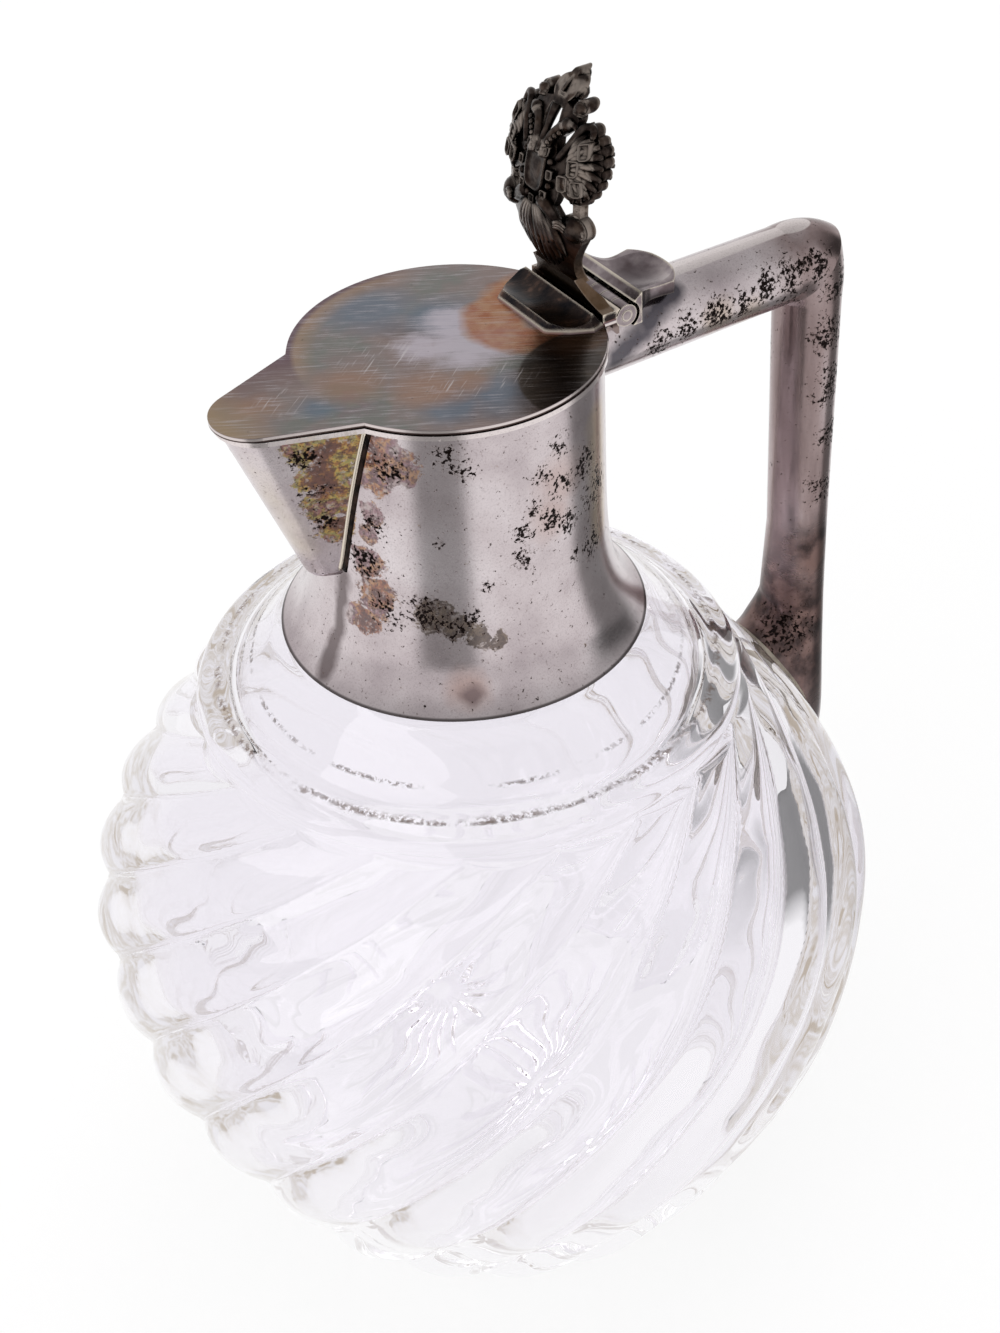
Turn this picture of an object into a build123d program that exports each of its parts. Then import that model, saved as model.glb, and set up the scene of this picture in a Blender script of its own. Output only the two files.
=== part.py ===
from build123d import *
import math
import os

# Milk jug: a spirally fluted glass body in a silver mount with a flat hinged lid, a cast
# openwork thumbpiece and an angular tubular handle.
# Millimetres. The origin is the centre of the flat base, +Z is up, the spout points to -X
# and the handle to +X.

os.makedirs("parts", exist_ok=True)

# Glass body
FLUTES = 20
FLUTE_DEPTH = 2.7
BODY_R = 73.7
BASE_R = 50.6
FLUTE_START = 90.0
TWIST_PER_MM = 0.62
TWIST_EXTRA = 26.0
FLUTE_TOP = 108.6
# Height and crest radius of each section of the fluted body
BODY_STATIONS = [
    (0.0, BASE_R),
    (1.2, 52.6),
    (4.5, 54.8),
    (10.0, 57.6),
    (18.0, 61.3),
    (28.0, 66.2),
    (39.0, 70.3),
    (50.0, 72.6),
    (60.0, 73.6),
    (66.0, BODY_R),
    (71.0, 73.0),
    (75.5, 71.6),
    (80.0, 69.6),
    (84.0, 67.3),
    (88.0, 64.8),
    (91.8, 62.1),
    (95.5, 59.4),
    (99.0, 56.8),
    (102.5, 54.3),
    (105.6, 52.2),
    (FLUTE_TOP, 50.4),
]
RING_R = 49.0
RING_Z = 110.3
STEP_R = 45.2
STEP_Z = 114.0
SHOULDER_R = 32.0
SHOULDER_Z = 124.6
SHOULDER_SAG_Z = 118.2
NECK_R = 22.0
NECK_BORE_R = 18.0
NECK_TOP = 146.0
GLASS_WALL = 6.6
INNER_FLOOR = 11.0
STAR_RAYS = 20
STAR_R = 34.0
STAR_WAIST_R = 9.0
STAR_HUB_R = 5.0
STAR_DEPTH = 1.4

# Silver collar, spout and rim
COLLAR_R = 25.5
COLLAR_WAIST_Z = 155.0
COLLAR_FOOT_R = 32.2
COLLAR_FOOT_Z = 125.1
COLLAR_TOP = 176.3
SHEET = 0.9
SPOUT_ROOT_X = -22.3
SPOUT_BACK_X = -15.0
SPOUT_TOP_APEX = -53.6
SPOUT_TOP_Y = 12.3
SPOUT_TOP_TIP = 7.2
SPOUT_LOW_Z = 144.6
SPOUT_LOW_APEX = -35.0
SPOUT_LOW_Y = 5.5
SPOUT_LOW_TIP = 3.8
SPOUT_HEEL_R = 1.6
RIM_PROUD = 0.75
RIM_TOP = 177.15

# Lid
LID_R = 26.0
LID_TOP = 178.1
LID_SHEET = 0.8
LID_ROOT_Y = 12.8
LID_APEX = -56.4
LID_TIP_R = 7.6
FLANGE_R = 24.0
FLANGE_WALL = 0.7
FLANGE_DROP = 2.6

# Hinge
HINGE_X = 28.3
HINGE_Z = 178.1
HINGE_HALF = 10.5
KNUCKLES = 7
KNUCKLE_R = 1.95
KNUCKLE_GAP = 0.12
PIN_R = 0.98
PIN_PLAY = 0.05
LEAF_REACH = 2.2
WEB_DROP = 0.4
WEB_HEIGHT = 1.8
LEAF_FRONT = 23.5
LEAF_TOP = 179.8
LEAF_LOW = 177.4
LUG_FRONT = 25.4
LUG_BACK = 26.7
LUG_LOW = 175.4
LUG_LENGTH = 2.0
LUG_CLEAR = 0.5
BAR_REACH = 2.5
BAR_FRONT = 29.5
BAR_BACK = 31.3
BAR_FOOT = 175.85
BAR_TOP = 181.5

# Lid bridge, the moulded plate in front of the hinge, with half of its plan as X and Y
BRIDGE_FRONT = 14.2
BRIDGE_PLAN = [(BRIDGE_FRONT, 7.2), (17.4, 9.9), (21.0, 11.8), (LEAF_FRONT, 11.0)]
BRIDGE_CORNER_R = 1.5
BRIDGE_TAPER = 35
BRIDGE_EDGE_Z = 179.7
BRIDGE_RIDGE_Z = 180.7

# Tongue behind the hinge, a dished rest for the thumbpiece
TONGUE_TIP_X = 43.4
TONGUE_CORNER_X = 40.5
TONGUE_CORNER_Y = 6.8
TONGUE_WAIST_X = 35.5
TONGUE_WAIST_Y = 6.6
TONGUE_RIM_Z = 179.0
TONGUE_LOW_Z = 176.6
TONGUE_SCOOP_R = 16.0
TONGUE_SCOOP_X = 37.4
TONGUE_SCOOP_Z = 177.7
SADDLE_END_X = 39.5
SADDLE_HALF_Y = 3.4
SADDLE_DROP = 3.0

# Thumbpiece, an openwork casting curved like a shallow dish
DISH_R = 27.5
DISH_X = 45.5
DISH_Z = 197.5
CAST = 1.5
FEATHER_CAST = 1.0
CREST_Z = 217.8
CROWN_HALF_Y = 2.7
CROWN_HALF_Z = 1.9
CROWN_BAND_Y = 1.9
FINIAL_R = 0.85
BREAST_Z = 202.0
BREAST_HALF_Y = 5.6
BREAST_HALF_Z = 6.0
WING_Y = 8.2
WING_Z = 205.4
FEATHERS = 9
FEATHER_R = 1.0
FEATHER_REACH_Y = 3.7
FEATHER_REACH_Z = 4.9
FEATHER_SPREAD = 160
HEAD_Y = 4.2
HEAD_Z = 211.4
ORB_Y = 8.6
ORB_Z = 195.8
ORB_R = 2.5
FOOT_HALF_Y = HINGE_HALF - 0.1
FOOT_WAIST_Y = 6.0
FOOT_NECK_Z = 185.0
FOOT_NECK_X = DISH_X - math.sqrt(DISH_R**2 - (DISH_Z - FOOT_NECK_Z) ** 2)
FOOT_FRONT_X = 23.5
FOOT_BACK_X = 25.8
# Half outlines as Y and Z: a neck from the breast to its head, the stay between the neck and
# the wing, and a leg that reaches for its orb
NECK_OUTLINE = [
    (0.3, 206.5),
    (3.9, 206.0),
    (3.1, 208.6),
    (5.2, 210.6),
    (4.2, 213.0),
    (1.2, 213.8),
    (1.9, 211.0),
]
STRUT_OUTLINE = [(4.0, 206.4), (5.4, 206.4), (7.6, 211.4), (6.9, 211.8)]
LEG_OUTLINE = [(1.5, 199.0), (4.4, 198.2), (5.6, 196.8), (7.0, 194.0), (1.0, 193.0)]

# Handle
ARM_Z = 169.5
ARM_ROOT_R = 7.3
ARM_END_R = 6.95
CORNER_X = 68.3
CORNER_Z = 162.05
CORNER_GAP = 0.5
CORNER_POWER = 4.7
UPRIGHT_TOP_R = 6.3
UPRIGHT_LOW_X = 75.4
UPRIGHT_LOW_R = 5.8
UPRIGHT_LOW_Z = 112.0
FOOT_PIVOT_X = 62.5
FOOT_PIVOT_Z = 96.0
# Sections of the foot: turn in degrees, near and far reach from the pivot, half width
FOOT_SECTIONS = [
    (0, 6.4, 18.5, 6.6),
    (20, 6.2, 19.6, 7.2),
    (40, 5.8, 23.9, 8.2),
    (55, 5.8, 32.0, 9.2),
    (65, 5.9, 41.0, 10.2),
    (76, 6.0, 46.5, 10.5),
]
CEMENT = 0.6
DROP_TOP_Z = 165.0
DROP_LOW_Z = 147.5
DROP_HALF_Y = 4.4
DROP_PROUD = 1.9
DROP_TIP_PROUD = 0.5


def flute_angle(height):
    """Angle of the first groove in degrees at a height, growing faster near the shoulder."""
    return FLUTE_START + TWIST_PER_MM * height + TWIST_EXTRA * (height / FLUTE_TOP) ** 5


def flute_depth(crest):
    """Depth of the grooves below the crests, in proportion to the crest radius."""
    return FLUTE_DEPTH * crest / BODY_R


def polar(radius, degrees):
    """Point on a circle about the origin."""
    return (radius * math.cos(math.radians(degrees)), radius * math.sin(math.radians(degrees)))


def wedge(apex_x, root_y, tip_r):
    """Wedge with a rounded tip towards -X whose sides pass through the spout's root."""
    slope = root_y / (SPOUT_ROOT_X - apex_x)
    back_y = slope * (SPOUT_BACK_X - apex_x)
    with BuildSketch() as shape:
        with BuildLine():
            Polyline((apex_x, 0), (SPOUT_BACK_X, -back_y), (SPOUT_BACK_X, back_y), close=True)
        make_face()
        fillet(vertices().sort_by(Axis.X)[0], tip_r)
    return shape.sketch


def spout_section(height, inset):
    """Section of the spout at a height, its sides moved inwards by inset."""
    rise = (height - SPOUT_LOW_Z) / (COLLAR_TOP - SPOUT_LOW_Z)
    apex_x = SPOUT_LOW_APEX + rise * (SPOUT_TOP_APEX - SPOUT_LOW_APEX)
    root_y = SPOUT_LOW_Y + rise * (SPOUT_TOP_Y - SPOUT_LOW_Y)
    tip_r = SPOUT_LOW_TIP + rise * (SPOUT_TOP_TIP - SPOUT_LOW_TIP)
    spread = math.atan2(root_y, SPOUT_ROOT_X - apex_x)
    return wedge(apex_x + inset / math.sin(spread), root_y - inset / math.cos(spread), tip_r - inset)


def oval(half_x, half_y):
    """Closed smooth section through twelve points of an ellipse."""
    turns = [math.radians(30 * step) for step in range(12)]
    with BuildSketch() as shape:
        with BuildLine():
            Spline(*[(half_x * math.cos(t), half_y * math.sin(t)) for t in turns], periodic=True)
        make_face()
    return shape.sketch


def corner_half(turn):
    """Half depth of the handle's corner section at a turn: a superellipse seen from the pivot."""
    level = math.cos(math.radians(turn)) / (CORNER_GAP + 2 * ARM_END_R)
    upright = math.sin(math.radians(turn)) / (CORNER_GAP + 2 * UPRIGHT_TOP_R)
    reach = (level**CORNER_POWER + upright**CORNER_POWER) ** (-1 / CORNER_POWER)
    return (reach - CORNER_GAP) / 2


def corner_width(turn):
    """Half width of the corner section, growing from the arm's to the upright's radius."""
    return ARM_END_R + (UPRIGHT_TOP_R - ARM_END_R) * turn / 90


def corner_plane(turn):
    """Plane of a corner section: it stands upright at 0 and lies level at 90 degrees."""
    outwards = (math.sin(math.radians(turn)), math.cos(math.radians(turn)))
    reach = CORNER_GAP + corner_half(turn)
    return Plane(
        origin=(CORNER_X + reach * outwards[0], 0, CORNER_Z + reach * outwards[1]),
        x_dir=(outwards[0], 0, outwards[1]),
        z_dir=(outwards[1], 0, -outwards[0]),
    )


def foot_plane(turn, reach):
    """Plane of a foot section: it lies level at 0 and tips down the glass as it turns."""
    outwards = (math.cos(math.radians(turn)), -math.sin(math.radians(turn)))
    return Plane(
        origin=(FOOT_PIVOT_X + reach * outwards[0], 0, FOOT_PIVOT_Z + reach * outwards[1]),
        x_dir=(outwards[0], 0, outwards[1]),
        z_dir=(outwards[1], 0, -outwards[0]),
    )


# Star cut in the underside of the base: rays round a flat hub that grow shallower towards
# their tips. It is not a piece, it is taken out of the glass
with BuildPart() as star_cut:
    with BuildSketch():
        with BuildLine():
            Polyline(
                *[
                    polar((STAR_R, STAR_WAIST_R)[corner % 2], 180 * corner / STAR_RAYS)
                    for corner in range(2 * STAR_RAYS)
                ],
                close=True,
            )
        make_face()
        Circle(STAR_HUB_R, mode=Mode.SUBTRACT)
    extrude(amount=STAR_DEPTH)
    Cone(
        STAR_R,
        STAR_WAIST_R / 4,
        STAR_DEPTH,
        align=(Align.CENTER, Align.CENTER, Align.MIN),
        mode=Mode.INTERSECT,
    )

# Glass body: a loft through lobed sections turned by the twist, with the stepped shoulder
# and neck turned on top, the cavity turned out and a star cut in the base
with BuildPart() as glass_body:
    for station_z, crest_r in BODY_STATIONS:
        with BuildSketch(Plane.XY.offset(station_z)):
            with BuildLine():
                pitch = 360 / FLUTES
                groove_r = crest_r - flute_depth(crest_r)
                for flute in range(FLUTES):
                    start = flute_angle(station_z) + pitch * flute
                    ThreePointArc(
                        polar(groove_r, start),
                        polar(crest_r, start + pitch / 2),
                        polar(groove_r, start + pitch),
                    )
            make_face()
    loft()
    with BuildSketch(Plane.XZ):
        with BuildLine():
            Line((0, FLUTE_TOP), (RING_R - 1.4, FLUTE_TOP))
            Line((RING_R - 1.4, FLUTE_TOP), (RING_R, RING_Z))
            ThreePointArc((RING_R, RING_Z), (RING_R - 1.3, RING_Z + 2.5), (STEP_R, STEP_Z))
            ThreePointArc(
                (STEP_R, STEP_Z), ((STEP_R + SHOULDER_R) / 2, SHOULDER_SAG_Z), (SHOULDER_R, SHOULDER_Z)
            )
            Spline(
                (SHOULDER_R, SHOULDER_Z),
                (NECK_R, 134.0),
                tangents=((-1, 0.55), (0, 1)),
            )
            Line((NECK_R, 134.0), (NECK_R, NECK_TOP))
            Line((NECK_R, NECK_TOP), (0, NECK_TOP))
            Line((0, NECK_TOP), (0, FLUTE_TOP))
        make_face()
    revolve(axis=Axis.Z)
    with BuildSketch(Plane.XZ):
        with BuildLine():
            inside = [(r - GLASS_WALL, z) for z, r in BODY_STATIONS if 28 <= z <= 96]
            Line((0, INNER_FLOOR), (36.0, INNER_FLOOR + 1.5))
            Spline(
                (36.0, INNER_FLOOR + 1.5),
                *inside,
                (40.5, 110.5),
                (28.5, 121.5),
                (NECK_BORE_R, 133.0),
                tangents=((1, 0.2), (0, 1)),
            )
            Line((NECK_BORE_R, 133.0), (NECK_BORE_R, NECK_TOP + 1))
            Line((NECK_BORE_R, NECK_TOP + 1), (0, NECK_TOP + 1))
            Line((0, NECK_TOP + 1), (0, INNER_FLOOR))
        make_face()
    revolve(axis=Axis.Z, mode=Mode.SUBTRACT)
    add(star_cut.part, mode=Mode.SUBTRACT)
glass_body.part.label = "glass_body"

# Plaster ring that holds the collar on the glass neck
with BuildPart() as neck_cement:
    with BuildSketch(Plane.XZ):
        with BuildLine():
            Polyline(
                (NECK_R, 134.5), (COLLAR_R - SHEET, 139.5), (COLLAR_R - SHEET, 144.5), (NECK_R, 144.5),
                close=True,
            )
        make_face()
    revolve(axis=Axis.Z)
neck_cement.part.label = "neck_cement"

# Outside of the collar, turned solid: a straight tube that flares out at the foot. It is not
# a piece, it trims what is soldered on the collar
with BuildPart() as collar_core:
    with BuildSketch(Plane.XZ):
        with BuildLine():
            Line((0, COLLAR_TOP), (COLLAR_R, COLLAR_TOP))
            Line((COLLAR_R, COLLAR_TOP), (COLLAR_R, COLLAR_WAIST_Z))
            Spline(
                (COLLAR_R, COLLAR_WAIST_Z),
                (COLLAR_FOOT_R, COLLAR_FOOT_Z),
                tangents=((0, -1), (1, -0.75)),
            )
            Line((COLLAR_FOOT_R, COLLAR_FOOT_Z), (0, COLLAR_FOOT_Z))
            Line((0, COLLAR_FOOT_Z), (0, COLLAR_TOP))
        make_face()
    revolve(axis=Axis.Z)

# Collar: the flared tube with the mouth of the spout cut out of its front
with BuildPart() as collar:
    with BuildSketch(Plane.XZ):
        with BuildLine():
            Line((COLLAR_R - SHEET, COLLAR_TOP), (COLLAR_R, COLLAR_TOP))
            Line((COLLAR_R, COLLAR_TOP), (COLLAR_R, COLLAR_WAIST_Z))
            Spline(
                (COLLAR_R, COLLAR_WAIST_Z),
                (COLLAR_FOOT_R, COLLAR_FOOT_Z),
                tangents=((0, -1), (1, -0.75)),
            )
            Line((COLLAR_FOOT_R, COLLAR_FOOT_Z), (COLLAR_FOOT_R - SHEET, COLLAR_FOOT_Z))
            Spline(
                (COLLAR_FOOT_R - SHEET, COLLAR_FOOT_Z),
                (COLLAR_R - SHEET, COLLAR_WAIST_Z),
                tangents=((-1, 0.75), (0, 1)),
            )
            Line((COLLAR_R - SHEET, COLLAR_WAIST_Z), (COLLAR_R - SHEET, COLLAR_TOP))
        make_face()
    revolve(axis=Axis.Z)
    for height in (SPOUT_LOW_Z + SHEET, COLLAR_TOP + 1):
        with BuildSketch(Plane.XY.offset(height)):
            add(spout_section(height, SHEET))
    loft(mode=Mode.SUBTRACT)
collar.part.label = "collar"

# Spout: a folded sheet wedge that narrows downwards, open to the collar and at the top
with BuildPart() as spout:
    for height in (SPOUT_LOW_Z, COLLAR_TOP):
        with BuildSketch(Plane.XY.offset(height)):
            add(spout_section(height, 0))
    loft()
    fillet(edges().group_by(Axis.Z)[0].sort_by(Axis.X)[0], SPOUT_HEEL_R)
    for height in (SPOUT_LOW_Z + SHEET, COLLAR_TOP + 1):
        with BuildSketch(Plane.XY.offset(height)):
            add(spout_section(height, SHEET))
    loft(mode=Mode.SUBTRACT)
    add(collar_core.part, mode=Mode.SUBTRACT)
spout.part.label = "spout"

# Rim wire that stiffens the whole edge of the mouth, round the collar and along the spout
with BuildPart() as rim_wire:
    with BuildSketch(Plane.XY.offset(COLLAR_TOP)):
        Circle(COLLAR_R + RIM_PROUD)
        add(spout_section(COLLAR_TOP, -RIM_PROUD))
        Circle(COLLAR_R - SHEET, mode=Mode.SUBTRACT)
        add(spout_section(COLLAR_TOP, SHEET), mode=Mode.SUBTRACT)
    extrude(amount=RIM_TOP - COLLAR_TOP)
rim_wire.part.label = "rim_wire"

# Handle arm: a tapering tube that runs level from the collar, with its half of the corner
# and a flat on top that the hinge stands on
with BuildPart() as handle_arm:
    with BuildSketch(Plane((COLLAR_R / 2, 0, ARM_Z), (0, 0, 1), (1, 0, 0))):
        add(oval(ARM_ROOT_R, ARM_ROOT_R))
    with BuildSketch(corner_plane(0)):
        add(oval(corner_half(0), corner_width(0)))
    loft(ruled=True)
    for turn in (0, 22.5, 45):
        with BuildSketch(corner_plane(turn)):
            add(oval(corner_half(turn), corner_width(turn)))
    loft()
    add(collar_core.part, mode=Mode.SUBTRACT)
    with BuildSketch(Plane.XY.offset(BAR_FOOT)):
        Rectangle(2 * BAR_BACK, 2 * HINGE_HALF)
    extrude(amount=BAR_TOP - BAR_FOOT, mode=Mode.SUBTRACT)
handle_arm.part.label = "handle_arm"

# Handle upright: the other half of the corner and the tube that the hand grips
with BuildPart() as handle_upright:
    for turn in (45, 67.5, 90):
        with BuildSketch(corner_plane(turn)):
            add(oval(corner_half(turn), corner_width(turn)))
    loft()
    with BuildSketch(corner_plane(90)):
        add(oval(corner_half(90), corner_width(90)))
    with BuildSketch(Plane((UPRIGHT_LOW_X, 0, UPRIGHT_LOW_Z), (1, 0, 0), (0, 0, -1))):
        add(oval(UPRIGHT_LOW_R, UPRIGHT_LOW_R))
    loft(ruled=True)
handle_upright.part.label = "handle_upright"

# Crest surface of the glass with the cement on it, turned solid, which shapes the foot's sole
with BuildPart() as foot_bed:
    with BuildSketch(Plane.XZ):
        with BuildLine():
            bed = [(crest_r + CEMENT, station_z) for station_z, crest_r in BODY_STATIONS]
            Spline(*bed)
            Polyline(bed[-1], (0, FLUTE_TOP), (0, 0), bed[0])
        make_face()
    revolve(axis=Axis.Z)

# Handle foot: the tube bends in and spreads to a saddle on the side of the glass
with BuildPart() as foot_block:
    with BuildSketch(Plane((UPRIGHT_LOW_X, 0, UPRIGHT_LOW_Z), (1, 0, 0), (0, 0, -1))):
        add(oval(UPRIGHT_LOW_R, UPRIGHT_LOW_R))
    with BuildSketch(foot_plane(0, (FOOT_SECTIONS[0][1] + FOOT_SECTIONS[0][2]) / 2)):
        add(oval((FOOT_SECTIONS[0][2] - FOOT_SECTIONS[0][1]) / 2, FOOT_SECTIONS[0][3]))
    loft(ruled=True)
    for turn, near, far, half_width in FOOT_SECTIONS:
        with BuildSketch(foot_plane(turn, (near + far) / 2)):
            add(oval((far - near) / 2, half_width))
    loft()
with BuildPart() as handle_foot:
    add(foot_block.part)
    add(foot_bed.part, mode=Mode.SUBTRACT)
handle_foot.part.label = "handle_foot"

# Plaster bed between the saddle and the fluted glass
with BuildPart() as foot_cement:
    add(foot_block.part)
    add(foot_bed.part, mode=Mode.INTERSECT)
    add(glass_body.part, mode=Mode.SUBTRACT)
foot_cement.part.label = "foot_cement"

# Drop: a leaf-shaped pad on the back of the collar under the arm
with BuildPart() as handle_drop:
    with BuildSketch(Plane.YZ.offset(COLLAR_R / 2)):
        with BuildLine():
            Line((-DROP_HALF_Y, DROP_TOP_Z), (DROP_HALF_Y, DROP_TOP_Z))
            Spline(
                (DROP_HALF_Y, DROP_TOP_Z), (0, DROP_LOW_Z), tangents=((0.1, -1), (-0.5, -1))
            )
            Spline(
                (0, DROP_LOW_Z), (-DROP_HALF_Y, DROP_TOP_Z), tangents=((-0.5, 1), (0.1, 1))
            )
        make_face()
    extrude(amount=COLLAR_R)
    with BuildSketch(Plane.XZ):
        with BuildLine():
            Polyline(
                (COLLAR_R / 2, DROP_TOP_Z),
                (COLLAR_R + DROP_PROUD, DROP_TOP_Z),
                (COLLAR_R + DROP_TIP_PROUD, DROP_LOW_Z),
                (COLLAR_R / 2, DROP_LOW_Z),
                close=True,
            )
        make_face()
    extrude(amount=DROP_HALF_Y + 1, both=True, mode=Mode.INTERSECT)
    add(collar_core.part, mode=Mode.SUBTRACT)
    add(handle_arm.part, mode=Mode.SUBTRACT)
handle_drop.part.label = "handle_drop"

# Hinge bar: the fixed wall behind the knuckles, hollowed to clear the barrel
with BuildPart() as hinge_bar:
    with BuildSketch(Plane.XZ):
        with BuildLine():
            Polyline(
                (BAR_FRONT, BAR_FOOT),
                (BAR_BACK, BAR_FOOT),
                (BAR_BACK, BAR_TOP),
                (BAR_FRONT + 0.4, BAR_TOP - 1.1),
                (BAR_FRONT, BAR_TOP - 1.3),
                close=True,
            )
        make_face()
        with Locations((HINGE_X, HINGE_Z)):
            Circle(BAR_REACH, mode=Mode.SUBTRACT)
    extrude(amount=HINGE_HALF, both=True)
hinge_bar.part.label = "hinge_bar"

# Hinge tongue: a dished rest behind the bar, on a saddle block that sits on the arm
with BuildPart() as hinge_tongue:
    with BuildSketch(Plane.XY.offset(TONGUE_LOW_Z)):
        with BuildLine():
            Line((BAR_BACK, -HINGE_HALF), (BAR_BACK, HINGE_HALF))
            Spline(
                (BAR_BACK, HINGE_HALF),
                (TONGUE_WAIST_X, TONGUE_WAIST_Y),
                (TONGUE_CORNER_X, TONGUE_CORNER_Y),
                tangents=((0.6, -1), (1, 0.1)),
            )
            ThreePointArc(
                (TONGUE_CORNER_X, TONGUE_CORNER_Y),
                (TONGUE_TIP_X, 0),
                (TONGUE_CORNER_X, -TONGUE_CORNER_Y),
            )
            Spline(
                (TONGUE_CORNER_X, -TONGUE_CORNER_Y),
                (TONGUE_WAIST_X, -TONGUE_WAIST_Y),
                (BAR_BACK, -HINGE_HALF),
                tangents=((-1, 0.1), (-0.6, -1)),
            )
        make_face()
    extrude(amount=BAR_TOP - TONGUE_LOW_Z)
    with BuildSketch(Plane.XZ):
        with BuildLine():
            Line((BAR_BACK, TONGUE_LOW_Z), (BAR_BACK, BAR_TOP))
            Spline(
                (BAR_BACK, BAR_TOP),
                (TONGUE_WAIST_X - 1.5, TONGUE_RIM_Z + 0.4),
                (TONGUE_TIP_X + 1, TONGUE_RIM_Z),
                tangents=((0.8, -1), (1, 0)),
            )
            Line((TONGUE_TIP_X + 1, TONGUE_RIM_Z), (TONGUE_TIP_X + 1, TONGUE_LOW_Z))
            Line((TONGUE_TIP_X + 1, TONGUE_LOW_Z), (BAR_BACK, TONGUE_LOW_Z))
        make_face()
    extrude(amount=HINGE_HALF + 1, both=True, mode=Mode.INTERSECT)
    with Locations((TONGUE_SCOOP_X, 0, TONGUE_SCOOP_Z + TONGUE_SCOOP_R)):
        Sphere(TONGUE_SCOOP_R, mode=Mode.SUBTRACT)
    with BuildSketch(Plane.XY.offset(TONGUE_LOW_Z)):
        with Locations(((BAR_BACK + SADDLE_END_X) / 2, 0)):
            Rectangle(SADDLE_END_X - BAR_BACK, 2 * SADDLE_HALF_Y)
    extrude(amount=-SADDLE_DROP)
    add(handle_arm.part, mode=Mode.SUBTRACT)
hinge_tongue.part.label = "hinge_tongue"

# Knuckles: short tubes on the pin, odd ones soldered to the bar and even ones to the leaf
knuckle_pitch = 2 * HINGE_HALF / KNUCKLES
knuckle_sides = {
    "fixed_knuckles": (range(1, KNUCKLES, 2), BAR_REACH, 1, PIN_R),
    "lid_knuckles": (range(0, KNUCKLES, 2), LEAF_REACH, -1, PIN_R + PIN_PLAY),
}
for name, (places, reach, side, bore_r) in knuckle_sides.items():
    with BuildPart() as knuckles:
        for place in places:
            near_y = HINGE_HALF - place * knuckle_pitch - KNUCKLE_GAP / 2
            with BuildSketch(Plane.XZ.offset(-near_y)):
                with Locations((HINGE_X, HINGE_Z)):
                    Circle(reach)
                with Locations((HINGE_X + side * reach / 2, HINGE_Z - WEB_DROP)):
                    Rectangle(reach, WEB_HEIGHT, mode=Mode.INTERSECT)
                with Locations((HINGE_X, HINGE_Z)):
                    Circle(KNUCKLE_R)
                    Circle(bore_r, mode=Mode.SUBTRACT)
            extrude(amount=knuckle_pitch - KNUCKLE_GAP)
    knuckles.part.label = name
    export_step(knuckles.part, f"parts/{name}.step")

# Hinge pin, flush with the ends of the barrel
with BuildPart() as hinge_pin:
    with BuildSketch(Plane.XZ):
        with Locations((HINGE_X, HINGE_Z)):
            Circle(PIN_R)
    extrude(amount=HINGE_HALF, both=True)
hinge_pin.part.label = "hinge_pin"

# Lid plate: a flat sheet, round over the mouth and drawn out over the spout
with BuildPart() as lid_plate:
    with BuildSketch(Plane.XY.offset(LID_TOP - LID_SHEET)):
        Circle(LID_R)
        add(wedge(LID_APEX, LID_ROOT_Y, LID_TIP_R))
    extrude(amount=LID_SHEET)
lid_plate.part.label = "lid_plate"

# Lid flange: a low ring under the plate that locates the lid in the mouth
with BuildPart() as lid_flange:
    with BuildSketch(Plane.XY.offset(LID_TOP - LID_SHEET)):
        Circle(FLANGE_R)
        Circle(FLANGE_R - FLANGE_WALL, mode=Mode.SUBTRACT)
    extrude(amount=-FLANGE_DROP)
lid_flange.part.label = "lid_flange"

# Hinge leaf: the strip on the back edge of the lid, with a lug at each end outside the rim
with BuildPart() as hinge_leaf:
    with BuildSketch(Plane.XZ):
        with BuildLine():
            Polyline(
                (LEAF_FRONT, LEAF_LOW),
                (HINGE_X, LEAF_LOW),
                (HINGE_X - 1.4, LEAF_TOP),
                (LEAF_FRONT, LEAF_TOP),
                close=True,
            )
        make_face()
        with Locations((HINGE_X, HINGE_Z)):
            Circle(LEAF_REACH, mode=Mode.SUBTRACT)
    extrude(amount=HINGE_HALF, both=True)
    for end in (-1, 1):
        with BuildSketch(Plane.XZ.offset(end * HINGE_HALF)):
            with BuildLine():
                Polyline(
                    (LUG_FRONT, LEAF_LOW),
                    (LUG_FRONT, LUG_LOW + 1.3),
                    (LUG_FRONT + 0.8, LUG_LOW),
                    (LUG_BACK, LUG_LOW),
                    (LUG_BACK, LEAF_LOW),
                    close=True,
                )
            make_face()
            with Locations((HINGE_X, HINGE_Z)):
                Circle(LEAF_REACH, mode=Mode.SUBTRACT)
        extrude(amount=-end * LUG_LENGTH)
    with BuildSketch(Plane.XY.offset(LID_TOP)):
        Circle(LID_R)
    extrude(amount=-LID_SHEET, mode=Mode.SUBTRACT)
    with BuildSketch(Plane.XY.offset(LID_TOP - LID_SHEET)):
        Circle(COLLAR_R + RIM_PROUD + LUG_CLEAR)
    extrude(amount=-2 * (LEAF_LOW - LUG_LOW), mode=Mode.SUBTRACT)
hinge_leaf.part.label = "hinge_leaf"

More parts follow.
